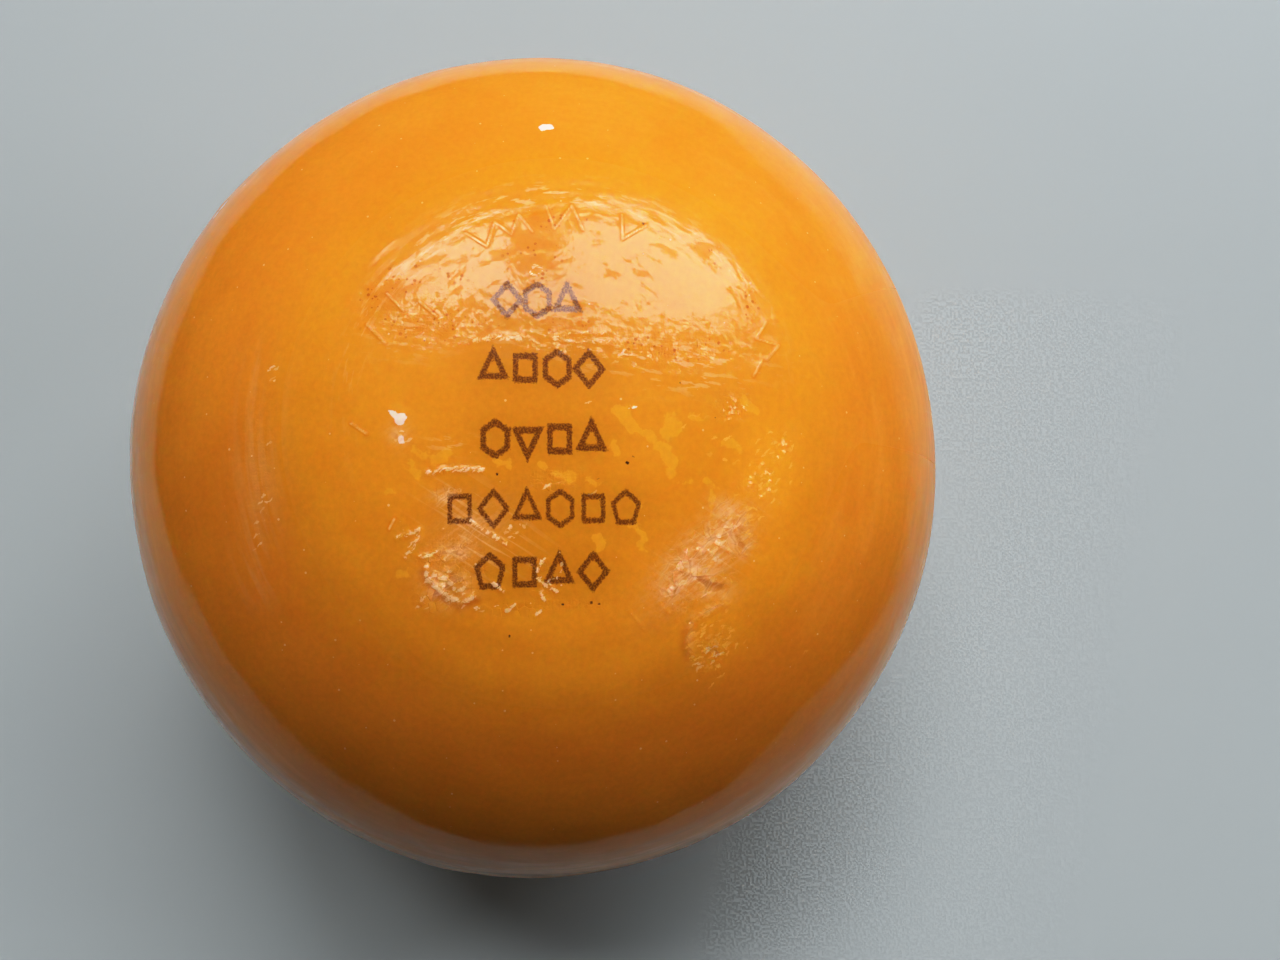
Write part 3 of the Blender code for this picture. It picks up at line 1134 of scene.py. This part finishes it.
# %% Rim, flank and streaks
RIM_REACH, RIM_REACH_SWING, RIM_REACH_ANGLE = 30.2, 2.4, 40
RIM_WEAR_START = -2.2, 1.2              # millimetres past the rim
DASH_BACK, DASH_HALF_WIDTH = 0.4, 2.0
RAG_REACH, RAG_HALF_WIDTH = 29.0, 3.2
RAGGED_OVALS = (
    # x, y, half width, half length (mm), turn (degrees), strength
    (-17, 12, 7, 3, 0, 0.8), (1, 10.5, 7, 2, 0, 0.5), (15, 10, 11, 2.6, 0, 0.8),
    (16, 6.6, 9, 2.6, 0, 0.6), (-3.8, 23, 5, 5, 0, 1),
)
OFF_FACE_START, LIMB_START, TOP_SIDE_FADE = (34.0, 48.0), (66.0, 84.0), (64.0, 78.0)  # down the flank
FAR_SIDE, FAR_DASHES = (90, 75), (100, 52)      # angle round the axis and half angle, in degrees
DULL_SIDE, STREAKED_SIDE = (12, 34), (12, 55)
DULL_LOSS, STREAKED_GAIN = 0.85, 0.35
LIMB_STREAK_BASE = 0.3
LIMB_STREAK_SIDES = (
    # angle round the axis, half angle (degrees), strength
    (250, 42, 0.9),
    (300, 36, 0.7),
    (35, 40, 0.6),
    (110, 45, 0.9),
)
PLACES = {"streak_place": 9.0, "dash_place": 4.0, "wear_place": 2.2}

rim_reach = RIM_REACH + RIM_REACH_SWING * np.cos(azimuth - math.radians(RIM_REACH_ANGLE))
past_rim = from_axis - rim_reach
off_face = smooth_step(*OFF_FACE_START, arc_length)
near_limb = smooth_step(*LIMB_START, arc_length)
streak_strength = LIMB_STREAK_BASE + sum(
    strength * turned_to(angle, half_angle) for angle, half_angle, strength in LIMB_STREAK_SIDES
)
edge_rag = np.exp(-((from_axis - RAG_REACH) / RAG_HALF_WIDTH) ** 2) * turned_to(*FAR_SIDE)

store("rim_wear", on_top * smooth_step(*RIM_WEAR_START, past_rim) * turned_to(*FAR_SIDE))
# dashes of painted glint along the pressed edge
rim_band = np.exp(-((past_rim + DASH_BACK) / DASH_HALF_WIDTH) ** 2)
store("rim_glint_dashes", on_top * rim_band * turned_to(*FAR_DASHES))
store("edge_rag", np.maximum(on_top * edge_rag, patches(RAGGED_OVALS)))
store("off_face", off_face)
store("crisp_side", off_face * (1.0 - DULL_LOSS * turned_to(*DULL_SIDE)))
higher_streaks = off_face * STREAKED_GAIN * turned_to(*STREAKED_SIDE)
store("streak_strength", near_limb * streak_strength + higher_streaks)
store("top_side", 1.0 - smooth_step(*TOP_SIDE_FADE, arc_length))

# Places on the unrolled flank, shrunk along the girth, which draws a pattern out that way.
for name, stretch in PLACES.items():
    layer = skin.attributes.new(name, "FLOAT_VECTOR", "POINT")
    places = np.column_stack([arc_length, across_axis / stretch]) * MM
    layer.data.foreach_set("vector", places.astype(np.float32).ravel())
print(len(skin.attributes), "attributes on the skin")

# %% [markdown]
# ## The wax
#
# Clear wax over a bright rind is a layered thing. The rind's colour comes from light
# that has wandered through fat and wax, so it scatters under the surface; the wax on
# top is a clear coat with its own sharp gloss. One layered shader holds both. The coat
# takes fine bumps that are too small for the mesh, and the rind takes the colours. Most
# of what follows is a noise or a distance put through a range, two numbers between which
# a share rises or an edge falls off.

# %% Colours of the rind and the ink
FACE_ORANGE = (0.81, 0.350, 0.028, 1.0)
FLANK_ORANGE = (0.80, 0.312, 0.031, 1.0)
DEEPER = (0.95, 0.91, 0.85, 1.0)
YELLOW = (0.88, 0.435, 0.040, 1.0)
# golden painted glints
GOLD_GLINT = (1.0, 0.50, 0.10, 1.0)
# brighter orange of the painted sheen
SHEEN_ORANGE = (0.95, 0.41, 0.032, 1.0)
# pale of the painted glints and highlights, and of the dust specks
GLINT_AND_DUST_PALE = (0.98, 0.66, 0.36, 1.0)
# darker orange round the printed figures
DARKER_ROUND_PRINT = (0.65, 0.278, 0.020, 1.0)
INK = (0.20, 0.066, 0.010, 1.0)
# pale of the painted reflection haze, and of the scuffs, which are wear
REFLECTION_AND_SCUFF_PALE = (0.92, 0.52, 0.24, 1.0)
# pale flakes, and the blister's painted glint
FLAKE_AND_GLINT_PALE = (0.98, 0.80, 0.68, 1.0)
SPECK = (0.06, 0.022, 0.010, 1.0)
CHIP = (0.78, 0.72, 0.66, 1.0)
# brown of the painted shade in creases and wrinkles, and of the pits
SHADE_AND_PIT_BROWN = (0.52, 0.15, 0.007, 1.0)
# tint of worn spots, and of the painted shade on the strokes' sides
WEAR_AND_SHADE_TINT = (0.95, 0.84, 0.72, 1.0)

CLOUDS_PER_METRE, CLOUD_RANGE = 42.0, (0.35, 0.65)
EDGE_GRAINS_PER_METRE = 560.0
FLECK_FRAY, FLECK_EDGE, FLECK_STRENGTH = 2.6, (-0.16, 0.16), 0.60
CREASE_SHADE_STRENGTH = 0.55

wax = Recipe("clear_wax_on_orange_rind")
stored = wax.stored
place = wax.object_place()
clouds = wax.noise(place, CLOUDS_PER_METRE, detail=3.0, roughness=0.6)
colour = wax.mix(stored("off_face"), FACE_ORANGE, FLANK_ORANGE)
colour = wax.mix(clouds.remap(*CLOUD_RANGE), colour, DEEPER, blend="MULTIPLY")
# darker round the printed figures
colour = wax.mix(stored("print_darkening"), colour, DARKER_ROUND_PRINT)
edge_grain = wax.noise(place, EDGE_GRAINS_PER_METRE, detail=3.0, flat=True) - 0.5
fleck_shape = stored("fleck_distance") + edge_grain * FLECK_FRAY
colour = wax.mix(fleck_shape.falling(*FLECK_EDGE) * FLECK_STRENGTH, colour, YELLOW)
# painted shade along the creases
colour = wax.mix(stored("crease_shadow") * CREASE_SHADE_STRENGTH, colour, SHADE_AND_PIT_BROWN)
print("rind, flecks and creases coloured")

# %% [markdown]
# Haze and scuffs are a dull colour laid on in brush strokes: the scuffs are wear, the haze
# is a painted, blurred reflection of the window. The streaks down the flank are the same
# colour, much fainter, and paint the table's reflection in streaks. Scratches and dashes
# are a noise drawn out into threads, of which only the tops are kept; the dashes are
# painted glints of the window, and the scratches are drawn as pale lines of painted glint.
# A quiet mottle then makes the whole a little lighter and darker, but only where the
# surface isn't steep, because it is a flat pattern that would run down the flank in lines.

# %% Haze, threads and mottle
BRUSH_TURN, BRUSH_STRETCH, BRUSHES_PER_METRE = 38.0, 3.0, 1300.0
BRUSH_RANGE = 0.40, 0.60, 0.30, 1.0     # four numbers: the share rises from the third to the fourth
SCUFF_RANGE, LIMB_RANGE = (0.40, 0.66), (0.50, 0.64)
REFLECTION_HAZE_STRENGTH, SCUFF_STRENGTH, LIMB_REFLECTION_PALENESS = 0.95, 0.20, 0.14
STREAKS_PER_METRE, LIMB_PATCHES_PER_METRE = 620.0, 380.0
STREAK_TONE, LIMB_REFLECTION_TONE = 0.10, 0.38
HAIRLINE_TURN, HAIRLINE_STRETCH, HAIRLINES_PER_METRE = -33.0, 16.0, 1700.0
LEVEL_TURN, LEVEL_STRETCH, DASHES_PER_METRE = -7.0, 3.6, 1050.0
HAIRLINE_RANGE, DASH_RANGE, RIM_DASH_RANGE = (0.60, 0.68), (0.55, 0.63), (0.54, 0.62)
HAIRLINE_STRENGTH, DASH_STRENGTH = 0.35, 0.55
MOTTLE_PER_METRE, MOTTLE_TONE = 1100.0, 0.22

streak_place = wax.stored_place("streak_place")
streak_noise = wax.noise(streak_place, STREAKS_PER_METRE, detail=3.0, roughness=0.55)
dash_place = wax.stored_place("dash_place")
limb_noise = wax.noise(dash_place, LIMB_PATCHES_PER_METRE, detail=4.0, roughness=0.62)
brushed = wax.drawn_out(place, BRUSH_TURN, BRUSH_STRETCH)
brush_noise = wax.noise(brushed, BRUSHES_PER_METRE, detail=4.0, roughness=0.7, flat=True)
brush_grain = brush_noise.remap(*BRUSH_RANGE)
scuff = stored("scuff_cover") * SCUFF_STRENGTH * streak_noise.remap(*SCUFF_RANGE)
# pale streaks near the limb: a painted reflection of the table
limb_reflection_pale = limb_noise.remap(*LIMB_RANGE) * stored("streak_strength") * LIMB_REFLECTION_PALENESS
# painted reflection haze, real scuffs and the painted reflection streaks near the limb
reflection_and_scuff_share = stored("reflection_haze_cover") * REFLECTION_HAZE_STRENGTH * brush_grain + scuff + limb_reflection_pale
# painted sheen
colour = wax.mix(stored("sheen_cover"), colour, SHEEN_ORANGE)
colour = wax.mix(reflection_and_scuff_share, colour, REFLECTION_AND_SCUFF_PALE)

# scratches drawn as pale lines of painted glint
scratched = wax.drawn_out(place, HAIRLINE_TURN, HAIRLINE_STRETCH)
hairlines = wax.noise(scratched, HAIRLINES_PER_METRE, detail=1.0, flat=True).remap(*HAIRLINE_RANGE)
colour = wax.mix(hairlines * stored("hairline_cover") * HAIRLINE_STRENGTH, colour, GLINT_AND_DUST_PALE)
# level and rim dashes of painted glint
level_place = wax.drawn_out(place, LEVEL_TURN, LEVEL_STRETCH)
level_noise = wax.noise(level_place, DASHES_PER_METRE, detail=3.0, roughness=0.6, flat=True)
colour = wax.mix(level_noise.remap(*DASH_RANGE) * stored("level_glint_dashes") * DASH_STRENGTH, colour, GLINT_AND_DUST_PALE)
rim_noise = wax.noise(dash_place, DASHES_PER_METRE, detail=3.0, roughness=0.6)
colour = wax.mix(rim_noise.remap(*RIM_DASH_RANGE) * stored("rim_glint_dashes") * DASH_STRENGTH, colour, GLINT_AND_DUST_PALE)

mottle_noise = wax.noise(place, MOTTLE_PER_METRE, detail=4.0, roughness=0.7, flat=True)
mottle = (mottle_noise - 0.5) * stored("top_side")
# near the limb the streaks are stronger and paint the streaky reflection of the table
streak_tone = stored("streak_strength") * LIMB_REFLECTION_TONE + STREAK_TONE
streaked = (limb_noise - 0.5) * stored("off_face") * streak_tone
tone = streaked + mottle * MOTTLE_TONE + 1.0
colour = wax.scaled(colour, tone)
print("haze, threads and mottle drawn")

# %% [markdown]
# The ink is drawn from its stored distance. A fine noise is added to the distance before
# it is cut, which frays the edge of each stroke, and a second one lets the rind show
# through in grains. Specks and pale flakes are cut from their distances too, and chips
# from their soft share. Dust and pits are cells of a pattern: each cell's random number
# says how large its dot is.

# %% Ink, specks, flakes, dust and pits
INK_FRAY, FRAYS_PER_METRE, INK_GRAINS_PER_METRE = 0.50, 2900.0, 4200.0
INK_GRAIN_RANGE = 0.32, 0.60, 0.60, 1.0
INK_EDGE, SPECK_EDGE, PALE_EDGE = (-0.16, 0.13), (-0.02, 0.12), (-0.08, 0.04)
PALE_FRAY, PALE_STRENGTH, CHIP_RANGE = 2.0, 0.90, (0.62, 0.70)
DUST_PER_METRE, DUST_CHOSEN, DUST_REACH, DUST_STRENGTH = 270.0, 0.70, 0.045, 0.6
PITS_PER_METRE, PIT_CHOSEN, PIT_REACH, PIT_SLOPE, PIT_STRENGTH = 1150.0, 0.2, 0.26, 0.08, 0.80
PIT_GROUPS_PER_METRE, PIT_GROUP_RANGE, PIT_WEAR_RANGE = 300.0, (0.47, 0.51), (0.20, 0.45)

fray = wax.noise(place, FRAYS_PER_METRE, roughness=0.6, flat=True) - 0.5
ink_shape = stored("ink_distance") + fray * INK_FRAY
ink_grain = wax.noise(place, INK_GRAINS_PER_METRE, detail=1.0, flat=True).remap(*INK_GRAIN_RANGE)
colour = wax.mix(ink_shape.falling(*INK_EDGE) * ink_grain, colour, INK)
colour = wax.mix(stored("speck_distance").falling(*SPECK_EDGE), colour, SPECK)
# pale flakes; on the blister they are its painted glint
pale_shape = stored("pale_distance") + edge_grain * PALE_FRAY
colour = wax.mix(pale_shape.falling(*PALE_EDGE) * PALE_STRENGTH, colour, FLAKE_AND_GLINT_PALE)
colour = wax.mix((stored("chip_cover") + edge_grain).remap(*CHIP_RANGE), colour, CHIP)

dust_gap, (dust_number, _, _) = wax.cells(place, DUST_PER_METRE)
dust_reach = dust_number.remap(DUST_CHOSEN, 1.0, 0.0, DUST_REACH, smooth=False) * stored("top_side")
colour = wax.mix(dust_gap.under(dust_reach) * DUST_STRENGTH, colour, GLINT_AND_DUST_PALE)

pit_gap, (pit_number, _, _) = wax.cells(place, PITS_PER_METRE)
pit_reach = pit_number.remap(PIT_CHOSEN, 1.0, 0.0, PIT_REACH, smooth=False)
pit_groups = wax.noise(place, PIT_GROUPS_PER_METRE, flat=True).remap(*PIT_GROUP_RANGE)
pitted = pit_groups * stored("worn").remap(*PIT_WEAR_RANGE)
pits = pit_gap.falling(pit_reach, pit_reach + PIT_SLOPE) * pitted
colour = wax.mix(pits * PIT_STRENGTH, colour, SHADE_AND_PIT_BROWN)
print("ink, specks, dust and pits drawn")

# %% [markdown]
# Where crumpled wax catches the window it flashes in tiny glints, whitish or gold, and
# these glints are painted into the colour as flakes. The flakes are long cells of a cell
# pattern that was bent by a noise first; each cell has a random number, and the cells whose
# number and stored share pass one are painted. The crests of the folds get painted glints
# too, in broken runs. A wider cell pattern gives the hazy patches a net of wrinkles, each a
# dark line of painted shade with a pale line of painted highlight along it.

# %% Painted glint flakes, wrinkles and fold crests
FLAKES_PER_METRE, FLAKE_STRETCH, FLAKE_TURN = 2100.0, 2.8, 32.0
FLAKE_BEND, FLAKE_FRAY, BENDS_PER_METRE = 1.3 * MM, 0.9, 650.0
FLAKE_EDGE, FAINTEST_FLAKE, GLINT_PASS_RANGE = (0.30, 0.46), 0.30, (1.0, 1.04)
GOLD_GLINT_STRENGTH, WHITE_GLINT_STRENGTH = 0.95, 0.80
WRINKLES_PER_METRE, WRINKLE_BEND = 330.0, 0.6 * MM
WRINKLE_TURN, WRINKLE_STRETCH = 42.0, 1.8
WRINKLE_LIGHT, WRINKLE_LIGHT_EDGE = 0.26, (0.05, 0.10)
WRINKLE_SHADOW, WRINKLE_SHADOW_EDGE = 0.30, (0.012, 0.040)
WRINKLED_RANGE = 0.15, 0.6
CREST_BREAK, CREST_BREAKS_PER_METRE, CREST_GLINT_STRENGTH = 2.2, 2400.0, 0.75
CREST_RANGE, CREST_FOOT_RANGE = (0.66, 0.95), (0.15, 0.5)

bend = wax.add("ShaderNodeTexNoise", {"Vector": place, "Scale": BENDS_PER_METRE}, noise_dimensions="2D")


def bent(places, reach):
    """Places pushed about by a noise, at most this far."""
    return wax.vector("MULTIPLY_ADD", bend.outputs["Color"], (reach,) * 3, places).outputs[0]


flake_place = wax.drawn_out(bent(place, FLAKE_BEND), FLAKE_TURN, FLAKE_STRETCH)
flake_gap, (_, flake_number, flake_paleness) = wax.cells(flake_place, FLAKES_PER_METRE)
flake_body = (flake_gap + fray * FLAKE_FRAY).falling(*FLAKE_EDGE)
flake_body = flake_body * flake_paleness.remap(0.0, 1.0, FAINTEST_FLAKE, 1.0, smooth=False)


def glint_flakes(cover_name):
    """The flakes of which the random number and the stored share together pass one."""
    return (flake_number + stored(cover_name)).remap(*GLINT_PASS_RANGE) * flake_body


net_place = bent(wax.drawn_out(place, WRINKLE_TURN, WRINKLE_STRETCH), WRINKLE_BEND)
net_cells = wax.add("ShaderNodeTexVoronoi", {
    "Vector": net_place, "Scale": WRINKLES_PER_METRE,
}, voronoi_dimensions="2D", feature="DISTANCE_TO_EDGE")
net_gap = Signal(wax, net_cells.outputs["Distance"])
net_cover = stored("reflection_haze_cover").remap(*WRINKLED_RANGE)
# painted highlight and painted shade along the wrinkles
colour = wax.mix(net_gap.falling(*WRINKLE_LIGHT_EDGE) * net_cover * WRINKLE_LIGHT, colour, GLINT_AND_DUST_PALE)
colour = wax.mix(net_gap.falling(*WRINKLE_SHADOW_EDGE) * net_cover * WRINKLE_SHADOW, colour, SHADE_AND_PIT_BROWN)
# golden and whitish flakes of painted glint
colour = wax.mix(glint_flakes("gold_glint_cover") * GOLD_GLINT_STRENGTH, colour, GOLD_GLINT)
colour = wax.mix(glint_flakes("white_glint_cover") * WHITE_GLINT_STRENGTH, colour, GLINT_AND_DUST_PALE)

crest_noise = wax.noise(flake_place, CREST_BREAKS_PER_METRE, detail=3.0, roughness=0.6, flat=True)
crest_breaks = crest_noise - 0.5
# painted glints along the fold crests, in broken runs
crest_glints = (stored("fold_crest") + crest_breaks * CREST_BREAK).remap(*CREST_RANGE)
crest_glints = crest_glints * stored("fold_crest").remap(*CREST_FOOT_RANGE)
colour = wax.mix(crest_glints * CREST_GLINT_STRENGTH, colour, GLINT_AND_DUST_PALE)
print("lifted flakes, wrinkles and crests drawn")

# %% [markdown]
# The coat's bump is a sum of small heights in metres: a faint orange peel, grain under a
# millimetre, streaks along the flank, raised strokes with crisp sides, folds, and the
# crumple in two sizes. A crumpled patch is made of cells, and inside each cell the height
# rises evenly in that cell's own random direction, which is the dot product of two
# vectors.

# %% Bump of the coat
PEEL_HEIGHT, PEEL_PER_METRE = 0.050 * MM, 420.0
GRAIN_HEIGHT, GRAIN_PER_METRE = 0.012 * MM, 1500.0
RAG_HEIGHT = 0.060 * MM
STREAK_BUMP_HEIGHT = 0.120 * MM
CRISP_STROKE_HEIGHT, CRISP_STROKE_EDGE = 0.040 * MM, (0.10, 0.36)
STROKE_FOOT, STROKE_SHOULDER = (0.32, 0.44), (0.14, 0.22)
FOLD_GAIN, FOLD_BREAKS_PER_METRE, FOLD_BREAK_RANGE = 1.2, 1100.0, (0.35, 0.65, 0.3, 1.0)
COARSE_CELLS_PER_METRE, COARSE_SLOPE = 950.0, 1.9
FINE_CELLS_PER_METRE, FINE_SLOPE = 2300.0, 2.0
CELL_SMOOTHNESS = 0.12
RIND_SHARE = 0.30


def crumple(cells_per_metre, slope):
    """Tilted facets: height is the way from a cell's middle, dotted with that cell's direction."""
    cells = wax.add("ShaderNodeTexVoronoi", {
        "Vector": place, "Scale": cells_per_metre, "Smoothness": CELL_SMOOTHNESS,
    }, voronoi_dimensions="2D", feature="SMOOTH_F1").outputs
    way = wax.vector("SUBTRACT", place, cells["Position"])
    direction = wax.vector("MULTIPLY_ADD", cells["Color"], (1.0, 1.0, 0.0), (-0.5, -0.5, 0.0))
    rise = wax.vector("DOT_PRODUCT", way.outputs[0], direction.outputs[0])
    return Signal(wax, rise.outputs["Value"]) * slope


to_stroke = stored("stroke_distance")
stroke_flanks = to_stroke.falling(*STROKE_FOOT) * to_stroke.remap(*STROKE_SHOULDER)
fold_breaks = wax.noise(place, FOLD_BREAKS_PER_METRE, flat=True).remap(*FOLD_BREAK_RANGE)
grain_height = stored("edge_rag") * RAG_HEIGHT + GRAIN_HEIGHT
bumps = (
    wax.noise(place, PEEL_PER_METRE, detail=1.0) * PEEL_HEIGHT,
    wax.noise(place, GRAIN_PER_METRE, roughness=0.6) * grain_height,
    streak_noise * stored("streak_strength") * STREAK_BUMP_HEIGHT,
    to_stroke.falling(*CRISP_STROKE_EDGE) * CRISP_STROKE_HEIGHT,
    fold_breaks * stored("fold_height") * (FOLD_GAIN * MM),
    crumple(COARSE_CELLS_PER_METRE, COARSE_SLOPE) * stored("coarse_crumple"),
    crumple(FINE_CELLS_PER_METRE, FINE_SLOPE) * stored("fine_crumple"),
)
bump = wax.add("ShaderNodeBump", {"Height": sum(bumps[1:], bumps[0]), "Strength": 1.0, "Distance": 1.0})

# The rind under the coat follows the same bumps, only less.
smooth_normal = wax.add("ShaderNodeNewGeometry").outputs["Normal"]
bump_part = wax.scaled(bump.outputs["Normal"], RIND_SHARE)
rind_normal = wax.vector("MULTIPLY_ADD", smooth_normal, (1.0 - RIND_SHARE,) * 3, bump_part)
rind_normal = wax.vector("NORMALIZE", rind_normal.outputs[0])
print(len(bumps), "layers of bump")

# %% [markdown]
# Two layers of gloss make the shine. The coat gives the sharp window light on the pressed
# face, less where the wax is worn or pitted. Down the flank the wax is thinner, so there
# the coat fades and comes and goes in streaks, and the gloss of the rind is left.

# %% Gloss
FACE_COAT, FLANK_COAT = 0.72, 0.11
SHARP_ROUGHNESS, SOFT_ROUGHNESS = 0.10, 0.34
WEAR_PER_METRE, WEAR_LIFT, WEAR_RANGE, WORN_LOSS = 620.0, 0.28, (0.60, 0.65), 0.85
STREAK_GLOSS_RANGE = 0.38, 0.62, 0.35, 1.8
STROKE_SIDE_SHADE, STROKE_LOSS, STROKE_HIGHLIGHT, STROKE_RIDGE = 0.8, 0.70, 0.40, (0.08, 0.20)

wear_noise = wax.noise(wax.stored_place("wear_place"), WEAR_PER_METRE, detail=4.0, roughness=0.68)
worn = stored("worn")
wear = (wear_noise + worn.most(stored("rim_wear")) * WEAR_LIFT).remap(*WEAR_RANGE)
colour = wax.mix(wear * worn, colour, WEAR_AND_SHADE_TINT, blend="MULTIPLY")
# painted shade along the strokes' sides, painted highlight along their ridges
colour = wax.mix(stroke_flanks * STROKE_SIDE_SHADE, colour, WEAR_AND_SHADE_TINT, blend="MULTIPLY")
colour = wax.mix(to_stroke.falling(*STROKE_RIDGE) * fold_breaks * STROKE_HIGHLIGHT, colour, GLINT_AND_DUST_PALE)

coat = stored("off_face").remap(0.0, 1.0, FACE_COAT, FLANK_COAT, smooth=False)
streak_gloss = streak_noise.remap(*STREAK_GLOSS_RANGE) - 1.0
coat = coat * (streak_gloss * stored("off_face") + 1.0)
for loss in (wear * WORN_LOSS, pits, stroke_flanks * STROKE_LOSS):
    coat = coat * (1.0 - loss)
roughness = stored("crisp_side").remap(0.0, 1.0, SOFT_ROUGHNESS, SHARP_ROUGHNESS, smooth=False)

wax.set_shader(
    Base_Color=colour, Roughness=roughness, Specular_IOR_Level=0.10, Normal=rind_normal.outputs[0],
    Subsurface_Weight=0.6, Subsurface_Radius=(1.0, 0.35, 0.1), Subsurface_Scale=0.004,
    Coat_Weight=coat, Coat_Roughness=0.05, Coat_IOR=1.45, Coat_Normal=bump.outputs["Normal"],
)
skin.materials.append(wax.material)
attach(waxed_ball, "root")
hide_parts("cheese_ball")
print("gloss set")
